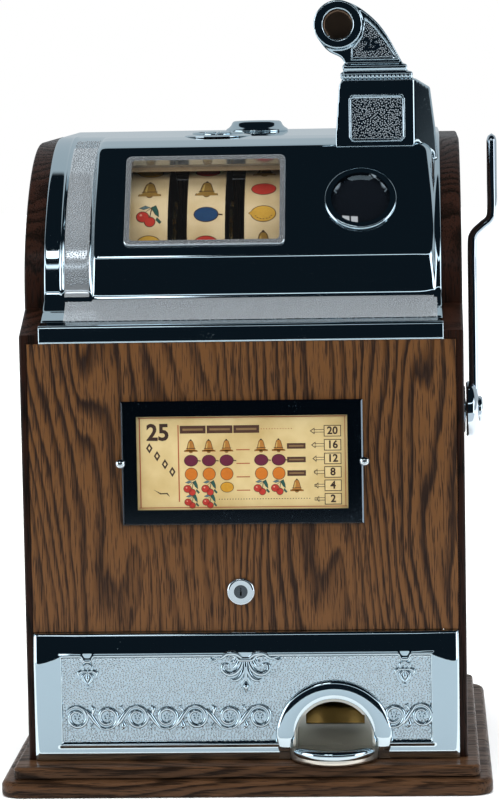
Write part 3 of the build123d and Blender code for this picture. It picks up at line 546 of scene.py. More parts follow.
def softened(name, node, grain, passes):
    """A CAD piece with its hard edges rounded, as a casting leaves the polishing wheel."""
    piece = placed(name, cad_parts[node].data.copy())
    piece.data.materials.clear()
    work = bmesh.new()
    work.from_mesh(piece.data)
    bmesh.ops.remove_doubles(work, verts=work.verts, dist=2e-6)
    work.to_mesh(piece.data)
    work.free()
    skinned = piece.modifiers.new("skinned", "REMESH")
    skinned.mode = "VOXEL"
    skinned.voxel_size = grain
    skinned.use_smooth_shade = True
    rubbed = piece.modifiers.new("rubbed", "SMOOTH")
    rubbed.factor = 0.5
    rubbed.iterations = passes
    bake(piece)
    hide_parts(node)
    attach(piece, "cabinet")
    return piece


head = softened("coin_head_shell", "coin_head", 0.0009, 7)
ring_at = (79.1, 612.4)
head.data.materials.append(chrome)
# The faces inside the coin ring get a dark brown metal in place of chrome: painted shade for the ring's recess.
head.data.materials.append(metal("ring_recess_painted_shade", (0.21, 0.13, 0.085), 0.34, 0.6, 0.6))
for face in head.data.polygons:
    x, y, z = (value * 1000 for value in face.center)
    if math.hypot(x - ring_at[0], z - ring_at[1]) < 12.0 and y - case_front < 112:
        face.material_index = 1


def flat_grid(x0, x1, z0, z1, y, step=3.0):
    """Grid points of an upright patch facing forward, in mm."""
    xs = np.linspace(x0, x1, max(2, int((x1 - x0) / step)))
    zs = np.linspace(z0, z1, max(2, int((z1 - z0) / step)))
    return np.array([[(x, y, z) for x in xs] for z in zs])


pebbled("chest_pebbles", flat_grid(89.2, 131.3, 518.2, 552.8, 99.6), 0.00125, 0.00068, 0.0003, 7)
neck_edge = [(90, 583.5), (128, 583.5), (119, 598), (109.5, 610.5), (101.5, 617.5), (98.5, 603), (90.5, 592.5)]


def outside(outline, margin):
    """True for a point (x, y, z) out of, or close to, an outline in x and z."""
    def test(point):
        x, z = point[0], point[2]
        inside, near = False, 99.0
        for (xa, za), (xb, zb) in zip(outline, outline[1:] + outline[:1]):
            if (za > z) != (zb > z) and x < (xb - xa) * (z - za) / (zb - za) + xa:
                inside = not inside
            long = (xb - xa) ** 2 + (zb - za) ** 2
            t = max(0, min(1, ((x - xa) * (xb - xa) + (z - za) * (zb - za)) / long))
            near = min(near, math.hypot(x - xa - t * (xb - xa), z - za - t * (zb - za)))
        return not inside or near < margin
    return test


pebbled("neck_pebbles", flat_grid(88, 130, 582, 620, 103.2, 1.0), 0.00125, 0.00068, 0.0003, 9,
        outside(neck_edge, 1.2))


def line_tree():
    """Sweeps a round bar along every line; each point's width is the bar's radius there."""
    tree = bpy.data.node_groups.new("raised_line", "GeometryNodeTree")
    for label, kind in (("Lines", "NodeSocketGeometry"), ("Sides", "NodeSocketInt"),
                        ("Finish", "NodeSocketMaterial")):
        tree.interface.new_socket(label, in_out="INPUT", socket_type=kind)
    tree.interface.new_socket("Bars", in_out="OUTPUT", socket_type="NodeSocketGeometry")
    start, end = tree.nodes.new("NodeGroupInput").outputs, tree.nodes.new("NodeGroupOutput")
    path = add(tree, "GeometryNodeMeshToCurve", [("Mesh", start["Lines"])])
    width = add(tree, "GeometryNodeInputNamedAttribute", [("Name", "width")], data_type="FLOAT")
    ring = add(tree, "GeometryNodeCurvePrimitiveCircle", [("Resolution", start["Sides"]), ("Radius", 1.0)])
    bar = add(tree, "GeometryNodeCurveToMesh", [("Curve", path.outputs[0]),
              ("Profile Curve", ring.outputs["Curve"]), ("Scale", width.outputs["Attribute"]),
              ("Fill Caps", True)])
    real = add(tree, "GeometryNodeRealizeInstances", [("Geometry", bar.outputs[0])])
    finish = add(tree, "GeometryNodeSetMaterial", [(0, real.outputs[0]), ("Material", start["Finish"])])
    tree.links.new(finish.outputs[0], end.inputs[0])
    return tree


raised_line = line_tree()


def through(points, count):
    """A smooth line through a few points."""
    points = np.array(points, float)
    ends = np.concatenate((2 * points[:1] - points[1:2], points, 2 * points[-1:] - points[-2:-1]))
    out = []
    for place in np.linspace(0, len(points) - 1 - 1e-6, count):
        i, t = int(place), place - int(place)
        a, b, c, d = ends[i:i + 4]
        out.append(0.5 * (2 * b + (c - a) * t + (2 * a - 5 * b + 4 * c - d) * t * t
                          + (3 * b - a - 3 * c + d) * t ** 3))
    return np.array(out)


def bars(name, strokes, material, sides=8, body="cabinet"):
    """Raised bars from (points in mm, radii in mm) strokes, as one mesh."""
    verts, edges, widths = [], [], []
    for points, radii in strokes:
        first = len(verts)
        places = np.linspace(0, len(radii) - 1, len(points))
        widths += list(np.interp(places, range(len(radii)), radii) * 0.001)
        verts += [(x * 0.001, (y + case_front) * 0.001, z * 0.001) for x, y, z in points]
        edges += [(i, i + 1) for i in range(first, len(verts) - 1)]
    mesh = bpy.data.meshes.new(name)
    mesh.from_pydata(verts, edges, [])
    mesh.attributes.new("width", "FLOAT", "POINT").data.foreach_set("value", widths)
    piece = placed(name, mesh)
    run_tree(piece, raised_line, Sides=sides, Finish=material)
    work = bmesh.new()
    work.from_mesh(piece.data)
    bmesh.ops.recalc_face_normals(work, faces=work.faces)
    for face in work.faces:
        face.smooth = True
    work.to_mesh(piece.data)
    work.free()
    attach(piece, body)
    return piece


def on_front(points, y, count=14):
    """A smooth line on an upright face from (x, z) points."""
    return np.array([(x, y, z) for x, z in through(points, count)])


panel_rim = [(88, 520), (88, 551), (91, 554), (129.5, 554), (132.5, 551), (132.5, 520), (129.5, 517), (91, 517),
             (88, 520), (88, 522)]
rim = [(np.array([(x, 98.1, z) for x, z in panel_rim]), [0.9]),
       (np.array([(x, 101.9, z) for x, z in neck_edge + neck_edge[:2]]), [0.8])]
bead = ((-1.1, 0.3), (-0.9, 1.3), (0, 1.75), (0.9, 1.3), (1.1, 0.3))
beads = [(np.array([(x + aside, 98.0, 569.9) for aside, _ in bead]), [radius for _, radius in bead])
         for x in np.arange(83.5, 138, 3.4)]
trim = bars("coin_head_trim", rim + beads, chrome)


# ---- lower casting --------------------------------------------------------------------------
# A chromed plate across the foot of the case: a pebbled field behind a rolled edge, a running
# scroll, a leaf at the top centre, two drops, and a raised arch round the payout cup.
field_x, field_z = 149.0, (38.0, 108.0)
cup_x, cup_z = 70.5, 41.0


def plate_depth(x, z):
    """How far the plate's face stands in front of the case, in mm."""
    corner = rise(abs(x), 136, 170)
    start = 111.5 - 9 * corner
    y = -8 + 3.2 * np.clip((z - start) / (127.8 - start), 0, 1) ** 1.2
    crown = np.clip((z - 125.0) / 2.8, 0, 1)
    y = y + 2.6 * (1 - np.sqrt(1 - 0.98 * crown ** 2))
    side = np.clip((abs(x) - 167) / 5, 0, 1)
    y = y + 4.5 * (1 - np.sqrt(1 - side ** 2))
    foot = np.clip((30 - z) / 7, 0, 1)
    y = y + 1.6 * foot ** 2
    notch = np.minimum(abs(abs(x) - 128), abs(x) * 0.5)
    top = field_z[1] - 4.5 * (1 - rise(notch, 2.2, 5.5))
    inside = np.minimum(np.minimum(field_x - abs(x), z - field_z[0]), top - z)
    rim = 0.75 * np.exp(-((inside + 1.6) / 1.2) ** 2)
    return y + 1.5 * rise(inside, -0.6, 1.2) - rim


plate_rows = np.concatenate((np.linspace(23, 36, 10), np.linspace(36.6, 41, 8), np.linspace(43, 98, 26),
                             np.linspace(99, 127.8, 38)))
half_columns = np.concatenate((np.linspace(0, 118, 72), np.linspace(119, 138, 26),
                               np.linspace(139.5, 146, 5), np.linspace(146.8, 151.5, 9),
                               np.linspace(153, 165, 9), np.linspace(166, 172, 12)))
plate_columns = np.concatenate((-half_columns[:0:-1], half_columns))
plate_grid = np.array([[(x, float(plate_depth(x, z)), z) for x in plate_columns] for z in plate_rows])


def in_the_arch(point):
    x, z = point[0] - cup_x, point[2] - cup_z
    return abs(x) < 35 and (z < 0 or math.hypot(x, z) < 35)


plate = thicken(skin("lower_plate", plate_grid, in_the_arch), 0.003)
plate.data.materials.append(chrome)
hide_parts("lower_casting")
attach(plate, "cabinet")


def arch_ring(name, section):
    """A raised rim over the cup: a section of (radius, y) points carried round the arch."""
    low = 24 - cup_z
    steps = [(0.0, z) for z in np.linspace(low, -1, 8)] + [(a, 0.0) for a in np.linspace(0, math.pi, 46)]
    steps += [(math.pi, z) for z in np.linspace(-1, low, 8)]
    points = np.array([[(cup_x + r * math.cos(angle), y + 2.2 * drop / low * (y < -6),
                         cup_z + drop + (r * math.sin(angle) if drop == 0 else 0)) for r, y in section]
                       for angle, drop in steps])
    verts = points.reshape(-1, 3) * 0.001
    verts[:, 1] += case_front * 0.001
    count, wide = points.shape[:2]
    faces = [(i * wide + j, (i + 1) * wide + j, (i + 1) * wide + (j + 1) % wide, i * wide + (j + 1) % wide)
             for i in range(count - 1) for j in range(wide)]
    faces += [tuple(range(wide)), tuple((count - 1) * wide + j for j in range(wide))]
    mesh = bpy.data.meshes.new(name)
    mesh.from_pydata([tuple(v) for v in verts], [], faces)
    work = bmesh.new()
    work.from_mesh(mesh)
    bmesh.ops.recalc_face_normals(work, faces=work.faces)
    for face in work.faces:
        face.smooth = len(face.verts) == 4
    work.to_mesh(mesh)
    work.free()
    mesh.set_sharp_from_angle(angle=math.radians(50))
    return placed(name, mesh)


arch = arch_ring("arch_surround", [(47.6, -5.8), (47.2, -7.2), (46.4, -8.3), (45.2, -9.1), (43.8, -9.6),
                                  (38, -9.6), (32.2, -9.6), (31.6, -9.0), (31.6, -5.5)])
arch.data.materials.append(chrome)
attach(arch, "cabinet")


def scroll(x, z, up):
    """One curl of the running scroll with its rosette, and the stem that leads on from it."""
    lines = []
    angles = np.linspace(0, 2 * math.pi * 1.45, 34)
    radius = np.interp(angles, (0, angles[-1]), (9.8, 4.0))
    sign = 1 if up else -1
    curl = [(x - r * math.cos(a + 0.5), -7.0, z + sign * r * math.sin(a + 0.5) * 1.02)
            for a, r in zip(angles, radius)]
    lines.append((np.array(curl), [0.7, 1.45, 1.5, 1.25, 0.8]))
    for k in range(5):
        a = 2 * math.pi * k / 5 + 0.3
        px, pz = x + 2.0 * math.cos(a), z + 2.0 * math.sin(a)
        lines.append((np.array([(px - 0.5, -7.1, pz), (px, -7.2, pz), (px + 0.5, -7.1, pz)]), [0.6, 1.25, 0.6]))
    return lines


frieze, frieze_z = [], 58.6
centres = [-137.3, -112.8, -88.4, -64.5, -40.6, -13.9, 10.8, 118.8, 141.3]
for index, x in enumerate(centres):
    up = index % 2 == 0
    frieze += scroll(x, frieze_z, up)
    sign = 1 if up else -1
    if x not in (10.8, 141.3):
        reach = centres[index + 1] - x
        stem = [(x + 7.6, frieze_z + sign * 6.5), (x + reach * 0.42, frieze_z + sign * 3.0),
                (x + reach * 0.6, frieze_z - sign * 3.5), (x + reach * 0.78, frieze_z - sign * 8.8)]
        frieze.append((on_front(stem, -7.0), [1.0, 1.7, 1.5, 0.8]))
        bud = [(x + reach * 0.5, frieze_z + sign * 2), (x + reach * 0.55, frieze_z + sign * 7),
               (x + reach * 0.46, frieze_z + sign * 9.8)]
        frieze.append((on_front(bud, -7.0), [0.7, 1.7, 0.5]))
        frieze.append((on_front([(x + reach * 0.58, frieze_z - sign * 4),
                                 (x + reach * 0.47, frieze_z - sign * 8),
                                 (x + reach * 0.52, frieze_z - sign * 10)], -7.0), [0.5, 1.1, 0.4]))
for hand in (-1, 1):
    leaf = [
        ([(3, 107), (8, 110.5), (15, 110.5), (20, 107), (25, 107.6), (29.5, 109)],
         [1.2, 1.9, 1.9, 1.4, 1.0, 0.4]),
        ([(22, 107), (26, 104.8), (28.4, 106.2)], [1.0, 1.1, 0.4]),
        ([(2, 106), (4.5, 99), (8.6, 94.6), (14, 93.6), (18.5, 96.8), (18, 101), (14.6, 101.6), (13.6, 99)],
         [1.0, 1.6, 1.8, 1.7, 1.5, 1.3, 1.0, 0.7]),
        ([(4, 108), (6.4, 101.5), (10, 98.4)], [0.9, 1.4, 0.6]),
        ([(7, 109), (9, 104), (12, 103.6)], [0.8, 1.3, 0.6]),
        ([(1.4, 102), (2.6, 95), (5.6, 90.2), (9.6, 88.6), (13, 89.8)], [0.8, 1.5, 1.6, 1.3, 0.5]),
        ([(0.8, 96), (1.8, 90), (3.8, 86.4)], [0.7, 1.1, 0.5]),
    ]
    for points, radii in leaf:
        frieze.append((on_front([(hand * x, z) for x, z in points], -6.9, 18), radii))
    side = hand * 128.0
    drop = [
        ([(0.2, 103), (3.4, 101), (3.6, 98), (0.6, 97)], [0.8, 1.0, 1.0, 0.7]),
        ([(0.4, 96.6), (4.2, 97.0), (7.4, 95.2), (7.0, 92.8)], [0.9, 1.2, 1.2, 0.5]),
        ([(0.4, 95.6), (3.6, 93.0), (3.2, 89.6), (0.6, 86.4)], [0.8, 1.2, 1.2, 0.5]),
    ]
    for points, radii in drop:
        for mirror in (-1, 1):
            frieze.append((on_front([(side + mirror * x, z) for x, z in points], -6.9, 12), radii))
    frieze.append((on_front([(side, 95.4), (side, 91), (side, 87.5)], -7.0, 10), [0.4, 1.7, 0.4]))
    frieze.append((on_front([(side, 86), (side, 84), (side, 82)], -7.0, 8), [0.3, 1.1, 0.3]))
frieze.append((on_front([(0, 107), (0, 98), (0, 88)], -6.9, 14), [1.0, 1.5, 0.6]))
frieze.append((on_front([(0, 88), (0, 83.4), (0, 78)], -7.0, 12), [0.4, 2.3, 0.3]))
field_chrome = metal("field_chrome", (0.66, 0.71, 0.73), 0.10, 0.3, 0.5, 0.85)


def off_the_field(point):
    x, z = point[0], point[2]
    top = 103.5 if min(abs(abs(x) - 128), abs(x) * 0.5) < 5 else 106.6
    arch = math.hypot(x - cup_x, max(0, z - cup_z)) < 46.2 + 0.011 * max(0, 60 - z) ** 2
    beside = np.min(np.hypot(relief_points[:, 0] - x, relief_points[:, 1] - z) - relief_points[:, 2]) < 0.8
    return abs(x) > 147.6 or z < 39.4 or z > top or arch or beside


frieze = [(line, [1.3 * r for r in radii]) for line, radii in frieze]
relief_points = []
for line, radii in frieze:
    thick = np.interp(np.linspace(0, 1, len(line)), np.linspace(0, 1, len(radii)), radii)
    relief_points += [(p[0], p[2], r) for p, r in zip(line, thick)]
relief_points = np.array(relief_points)
pebbled("field_pebbles", flat_grid(-149, 149, 38, 108, -6.4, 1.0), 0.00175, 0.00100, 0.00076, 11,
        off_the_field, field_chrome)
relief = bars("leaf_and_scroll", frieze, chrome)
dress("payout_cup", metal("cup_chrome", (0.74, 0.69, 0.60), 0.30, 0.4, 0.7))
lip_r = 33.4
lip_arc = [(cup_x + lip_r * math.cos(a), -1 - lip_r * math.sin(a), 31.4)
           for a in np.linspace(0.24, math.pi - 0.24, 34)]
lip = bars("cup_lip", [(np.array(lip_arc), [1.6, 4.3, 4.7, 4.7, 4.7, 4.3, 1.6])], chrome, 20)


# ---- reels ----------------------------------------------------------------------------------
# Three light drums with printed paper strips glued round their rims. Twenty symbols to a strip,
# line-printed in brown and filled with flat inks on paper that has gone cream with age.
reel_radius, stops = 82.0, 20
reel_centres = (-77.5, -30.5, 16.5)
shaft_low, shaft_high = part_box("reel_shaft")
axle = ((shaft_low[1] + shaft_high[1]) * 500, (shaft_low[2] + shaft_high[2]) * 500)


def paper_tree():
    """Broad stains of age and the fine hairs of paper."""
    tree, start, end = group("paper_age", [
        ("Stain scale", "NodeSocketFloat", 30.0), ("Stain detail", "NodeSocketFloat", 6.0),
        ("Fibre scale", "NodeSocketFloat", 420.0)],
        [("Stain", "NodeSocketFloat"), ("Fibre", "NodeSocketFloat")])
    place = object_place(tree)
    wire(end, [("Stain", noise(tree, place, start.outputs["Stain scale"], start.outputs["Stain detail"])),
               ("Fibre", noise(tree, place, start.outputs["Fibre scale"], 3.0))])
    return tree


paper_age = paper_tree()


def paper_shader(name, stain_scale, stain_detail, fibre, low, high):
    """A paper material with its fibres in the gloss and bump; its colour is still to be set."""
    material, tree, shader = blank_material(name)
    age = add(tree, "ShaderNodeGroup", [("Stain scale", stain_scale), ("Stain detail", stain_detail),
              ("Fibre scale", fibre)], node_tree=paper_age)
    hair = age.outputs["Fibre"]
    wire(shader, [("Roughness", remap(tree, hair, 0.0, 1.0, low, high)), ("Normal", bump(tree, hair, 0.00004))])
    return material, tree, shader, age.outputs["Stain"], hair


def printed(name, fibre=520.0, age=0.25, rough=0.62):
    """Ink on paper: the colour comes with each face, the paper's fibres and stains lie over it."""
    material, tree, shader, stain, hair = paper_shader(name, 38.0, 5.0, fibre, rough - 0.08, rough + 0.1)
    ink = add(tree, "ShaderNodeAttribute", attribute_name="ink").outputs["Color"]
    spots = remap(tree, maths(tree, "MULTIPLY", stain, hair), 0.18, 0.36, 0.0, age)
    wire(shader, [("Base Color", mix(tree, spots, ink, (0.62, 0.45, 0.26), blend_type="MULTIPLY"))])
    return material


paper_print = printed("strip_print")
cream, brown = (0.74, 0.58, 0.34), (0.055, 0.025, 0.012)
red, yellow = (0.50, 0.035, 0.02), (0.66, 0.38, 0.05)
blue, green, gold, plum = (0.012, 0.05, 0.13), (0.02, 0.09, 0.07), (0.30, 0.17, 0.03), (0.13, 0.012, 0.035)


def disc(x, z, rx, rz, turn=0.0, count=26):
    """An oval outline."""
    out = []
    for a in np.linspace(0, 2 * math.pi, count, endpoint=False):
        px, pz = rx * math.cos(a), rz * math.sin(a)
        out.append((x + px * math.cos(turn) - pz * math.sin(turn),
                    z + px * math.sin(turn) + pz * math.cos(turn)))
    return out


def grown(outline, by):
    """An outline enlarged about its middle, for the printed line round a shape."""
    mid = np.mean(outline, axis=0)
    out = []
    for point in outline:
        away = np.array(point) - mid
        out.append(tuple(point + away / max(1e-6, np.hypot(*away)) * by))
    return out


def inked(outline, colour, line=0.45):
    return [(grown(outline, line), brown, 1), (outline, colour, 2)]


def bell():
    half = [(0, 6.2), (1.3, 6.0), (2.2, 4.6), (2.9, 1.6), (3.8, -1.8), (5.8, -4.0)]
    body = half + [(-x, z) for x, z in half[:0:-1]]
    shapes = inked(body, gold, 0.5) + inked(disc(0, -4.4, 1.5, 1.3), gold, 0.4)
    shapes += inked([(-6.4, -4.7), (6.4, -4.7), (6.0, -3.1), (-6.0, -3.1)], gold, 0.35)
    shapes += [([(-1.9, 3.6), (-1.0, 4.6), (-1.6, -1.6), (-2.9, -1.8)], (0.60, 0.42, 0.12), 3),
               ([(-4.4, -1.0), (4.4, -1.0), (4.7, -1.6), (-4.7, -1.6)], brown, 3),
               (disc(0, 6.8, 0.9, 0.9), brown, 1)]
    return shapes


def cherries():
    shapes = inked(disc(-3.6, -1.2, 3.4, 3.2), red) + inked(disc(0.6, -4.4, 2.9, 2.9), red)
    shapes += [([(0.2, -1.8), (0.8, -1.6), (1.9, 4.4), (1.3, 4.6)], brown, 3),
               ([(-2.6, 1.6), (-2.1, 1.8), (1.5, 4.6), (1.1, 4.9)], brown, 3)]
    shapes += inked([(1.2, 4.8), (4.0, 6.4), (5.4, 2.4), (5.8, -1.4), (3.6, 0.6)], green, 0.3)
    shapes += inked([(0.8, 5.0), (-2.2, 6.2), (-5.6, 4.6), (-2.8, 3.8)], (0.10, 0.17, 0.18), 0.3)
    shapes += inked([(4.8, -1.6), (7.2, -4.4), (6.2, -5.6), (4.2, -3.4)], green, 0.3)
    shapes += [(disc(-4.6, -0.1, 0.8, 0.7), (0.75, 0.35, 0.25), 4)]
    return shapes


def fruit(colour, rx, rz, stalk=None, marks=True):
    shapes = inked(disc(0, 0, rx, rz), colour, 0.45)
    if stalk == "plum":
        shapes += [([(rx - 0.2, 0.4), (rx + 2.8, 0.1), (rx + 2.8, -0.9), (rx - 0.2, -0.5)], brown, 2)]
    if stalk == "lemon":
        shapes = inked([(-rx - 1.4, 0.3), (-rx + 0.8, 2.2), (-rx + 0.8, -1.8)], colour, 0.4) + shapes
    if marks:
        for k in range(7):
            a = -0.4 - k * 0.38
            shapes.append((disc(0.72 * rx * math.cos(a), 0.70 * rz * math.sin(a), 0.42, 0.32, 0, 8), brown, 3))
    return shapes


def bar_sign():
    shapes = inked([(-9.5, -4.4), (9.5, -4.4), (9.5, 4.4), (-9.5, 4.4)], (0.05, 0.012, 0.01), 0.6)
    shapes += [([(-8.0, -2.9), (8.0, -2.9), (8.0, 2.9), (-8.0, 2.9)], cream, 3),
               ([(-7.2, -2.1), (7.2, -2.1), (7.2, 2.1), (-7.2, 2.1)], (0.30, 0.02, 0.015), 4)]
    return shapes


art = {"bell": bell(), "cherry": cherries(), "plum": fruit(blue, 6.8, 4.6, "plum", False),
       "orange": fruit(red, 6.9, 4.5, None, False), "lemon": fruit(yellow, 7.0, 5.0, "lemon"),
       "bar": bar_sign()}


def print_mesh(name, shapes, place, cut=None, material=None):
    """Lays inked shapes down as thin layers, one over another; place(x, z, height) puts a point."""
    verts, faces, inks = [], [], []
    for outline, colour, layer in shapes:
        flat = bmesh.new()
        face = flat.faces.new([flat.verts.new((x, z, 0)) for x, z in outline])
        if face.calc_area() and face.normal.z < 0:
            face.normal_flip()
        face.normal_update()
        if face.normal.z < 0:
            face.normal_flip()
        bmesh.ops.triangulate(flat, faces=flat.faces[:])
        if cut:
            low = min(z for _, z in outline)
            high = max(z for _, z in outline)
            for level in np.arange(math.ceil(low / cut) * cut, high, cut):
                bmesh.ops.bisect_plane(flat, geom=flat.verts[:] + flat.edges[:] + flat.faces[:],
                                       plane_co=(0, level, 0), plane_no=(0, 1, 0))
        flat.verts.index_update()
        first, count = len(verts), len(flat.verts)
        height = 0.035 * layer
        for lift in (height, 0.0):
            verts += [place(v.co.x, v.co.y, lift) for v in flat.verts]
        for face in flat.faces:
            corner = [v.index for v in face.verts]
            faces.append([first + i for i in corner])
            faces.append([first + count + i for i in reversed(corner)])
            inks += [colour, colour]
        for edge in flat.edges:
            if len(edge.link_faces) == 1:
                a, b = (loop.vert.index for loop in (edge.link_loops[0], edge.link_loops[0].link_loop_next))
                faces.append([first + b, first + a, first + count + a, first + count + b])
                inks.append(colour)
        flat.free()
    mesh = bpy.data.meshes.new(name)
    mesh.from_pydata([tuple(c * 0.001 for c in v) for v in verts], [], faces)
    layer = mesh.color_attributes.new("ink", "FLOAT_COLOR", "CORNER")
    shades = [(*ink, 1.0) for ink, face in zip(inks, mesh.polygons) for _ in range(face.loop_total)]
    layer.data.foreach_set("color", np.array(shades, float).ravel())
    mesh.materials.append(material or paper_print)
    return placed(name, mesh)


def enlarged(shapes, scale):
    """A symbol drawn larger about its own middle."""
    return [([(x * scale, z * scale) for x, z in outline], colour, layer)
            for outline, colour, layer in shapes]


def round_reel(centre, middle):
    """Puts a symbol drawn in mm on the strip, its middle at an angle from straight ahead."""
    def place(x, z, height):
        angle = middle + z / reel_radius
        r = reel_radius + 0.03 + height
        return centre + x, axle[0] - r * math.cos(angle), axle[1] + r * math.sin(angle)
    return place


look = lean - math.radians(2.9)
orders = {
    "left": ["cherry", "bell", "lemon", "orange", "plum", "bell", "orange", "cherry", "plum", "bell"] * 2,
    "middle": ["plum", "bell", "orange", "lemon", "cherry", "bell", "plum", "orange", "cherry", "bar"] * 2,
    "right": ["lemon", "orange", "bell", "plum", "bar", "lemon", "orange", "cherry", "plum", "lemon"] * 2}
for side, stop, symbol in (("left", -1, "lemon"), ("left", 1, "bell"), ("middle", -1, "orange"),
                           ("right", -1, "bell")):
    orders[side][stop] = symbol
for side, centre in zip(("left", "middle", "right"), reel_centres):
    printing = []
    for index, symbol in enumerate(orders[side]):
        angle = look + index * 2 * math.pi / stops
        printing.append(print_mesh("symbol", enlarged(art[symbol], 1.42), round_reel(centre, angle), 1.6))
    joined = bmesh.new()
    for piece in printing:
        joined.from_mesh(piece.data)
        bpy.data.objects.remove(piece)
    mesh = bpy.data.meshes.new(f"strip_symbols_{side}")
    joined.to_mesh(mesh)
    joined.free()
    mesh.materials.append(paper_print)
    symbols = placed(f"strip_symbols_{side}", mesh)
    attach(symbols, f"reel_{side}")


def plain_paper(name, colour):
    """Bare aged paper or card."""
    material, tree, shader, stain, _ = paper_shader(name, 30.0, 6.0, 420.0, 0.55, 0.75)
    aged = (colour[0] * 0.80, colour[1] * 0.74, colour[2] * 0.62)
    wire(shader, [("Base Color", mix(tree, remap(tree, stain, 0.38, 0.68), colour, aged))])
    return material


strip_paper = plain_paper("strip_paper", cream)
for side in ("left", "middle", "right"):
    dress(f"reel_strip_{side}", strip_paper)


# ---- award card -----------------------------------------------------------------------------
# A printed card of winning rows behind a black-nickelled frame that two round-headed screws hold
# to the panel. Only numbers and pictures are printed on it.
card_print = printed("card_print", 380.0, 0.2, 0.5)
card_front = (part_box("award_card")[0][1]) * 1000
card_cream = (0.76, 0.57, 0.27)
dress("award_card", plain_paper("card_paper", card_cream))
dark_ink, rule_red, card_orange = (0.045, 0.020, 0.010), (0.42, 0.09, 0.03), (0.62, 0.17, 0.012)


def on_card(x, z, height):
    return x, card_front - 0.02 - height, z


def shrink(shapes, x, z, scale, recolour=None):
    """A reel symbol reduced for the card."""
    out = []
    for outline, colour, layer in shapes:
        colour = (recolour or {}).get(colour, colour)
        out.append(([(x + px * scale, z + pz * scale) for px, pz in outline], colour, layer))
    return out


def bar(x0, x1, z0, z1, colour=dark_ink, layer=1):
    return [([(x0, z0), (x1, z0), (x1, z1), (x0, z1)], colour, layer)]


def line_box(x0, x1, z0, z1, wide, colour=dark_ink):
    return bar(x0, x1, z0, z1, colour, 1) + bar(x0 + wide, x1 - wide, z0 + wide, z1 - wide, card_cream, 2)


small_bar = bar(-7.6, 7.6, -2.3, 2.3, (0.075, 0.03, 0.015)) + bar(-6.0, 6.0, -0.6, 0.6, (0.26, 0.15, 0.06), 2)
small_plum = fruit(plum, 6.0, 4.9, "plum", False)
small_orange = fruit(card_orange, 5.5, 5.5, None, False)
small_lemon = fruit((0.62, 0.30, 0.02), 5.8, 4.4, None, False)
small_bell = shrink(bell(), 0, 0, 0.92, {gold: (0.45, 0.18, 0.03)})
row_heights = (288.5, 277.2, 266.2, 255.3, 244.5, 233.6)
left_columns, right_columns = (-41.2, -26.8, -12.6), (15.2, 29.2, 43.4)
card = []
card += bar(-83.4, 83.4, 301.0, 301.7, rule_red) + bar(-83.4, 83.4, 228.4, 229.0, rule_red)
card += bar(-82.6, -81.7, 228.6, 301.5, rule_red) + bar(82.2, 82.7, 228.6, 301.5, rule_red)
card += bar(-51.6, -50.7, 233.5, 295.5, rule_red)
for x in (-39.4, -17.8, 3.6):
    card += shrink(small_bar, x, row_heights[0] + 3.2, 1.36)
for x in np.arange(15.5, 40.5, 2.2):
    card += [(disc(x, row_heights[0] + 3.2, 0.42, 0.42, 0, 8), rule_red, 1)]
for x in np.arange(-19.0, 55, 2.2):
    card += [(disc(x, row_heights[5] + 1.6, 0.42, 0.42, 0, 8), dark_ink, 1)]
pictures = [(small_bell, small_bell, small_bell, small_bell, small_bell, small_bar),
            (small_plum,) * 5 + (small_bar,), (small_orange,) * 5 + (small_bar,),
            (cherries(), cherries(), small_lemon, cherries(), cherries(), small_bell)]
for height, row in zip(row_heights[1:5], pictures):
    for x, picture in zip(left_columns + right_columns, row):
        card += shrink(picture, x, height + 0.4, 0.88 if picture is not small_bar else 0.98)
    card += bar(-4.8, 6.0, height - 2.6, height - 1.8, rule_red)
for x in left_columns[:2]:
    card += shrink(cherries(), x, row_heights[5] + 0.4, 0.8)
for index, height in enumerate(row_heights):
    z = height + 1.0
    card += line_box(65.6, 79.4, z - 4.6, z + 4.6, 0.62)
    card += line_box(57.6, 66.0, z - 1.2, z + 1.2, 0.45)
    tip = [(54.4 + index * 0.9, z), (58.2 + index * 0.6, z + 2.6), (58.2 + index * 0.6, z - 2.6)]
    card += [(tip, dark_ink, 2), ([(tip[0][0] + 1.0, z), (tip[1][0] - 0.5, z + 1.5), (tip[2][0] - 0.5, z - 1.5)],
                                  card_cream, 3)]
for step, (x, z) in enumerate(((-74.5, 277.0), (-68.4, 270.6), (-62.2, 264.0), (-56.4, 257.8))):
    card += [([(x, z + 4.2), (x + 2.6, z), (x, z - 4.2), (x - 2.6, z)], dark_ink, 1),
             ([(x, z + 1.8), (x + 1.1, z), (x, z - 1.8), (x - 1.1, z)], card_cream, 2)]
card += [([(-72, 243.6), (-66, 240.6), (-60.6, 240.8), (-58.6, 237.4), (-61.4, 239.8), (-66.4, 239.6)],
          dark_ink, 1)]
artwork = print_mesh("card_printing", card, on_card, None, card_print)
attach(artwork, "cabinet")


def number(text, x, z, tall, weight, front=card_front - 0.10, raised=0.05):
    """A printed number, cut as a thin mesh."""
    curve = bpy.data.curves.new(f"number_{text}_{int(x)}", "FONT")
    curve.body = text
    curve.size = tall * 1.42
    curve.align_x, curve.align_y = "CENTER", "CENTER"
    curve.offset = weight
    curve.resolution_u = 3
    curve.extrude = raised
    writing = placed(curve.name, curve)
    seen = writing.evaluated_get(bpy.context.evaluated_depsgraph_get())
    mesh = bpy.data.meshes.new_from_object(seen)
    bpy.data.objects.remove(writing)
    mesh.transform(Matrix(((0.001, 0, 0, x * 0.001), (0, 0, -0.001, front * 0.001),
                           (0, 0.001, 0, z * 0.001), (0, 0, 0, 1))))
    return mesh


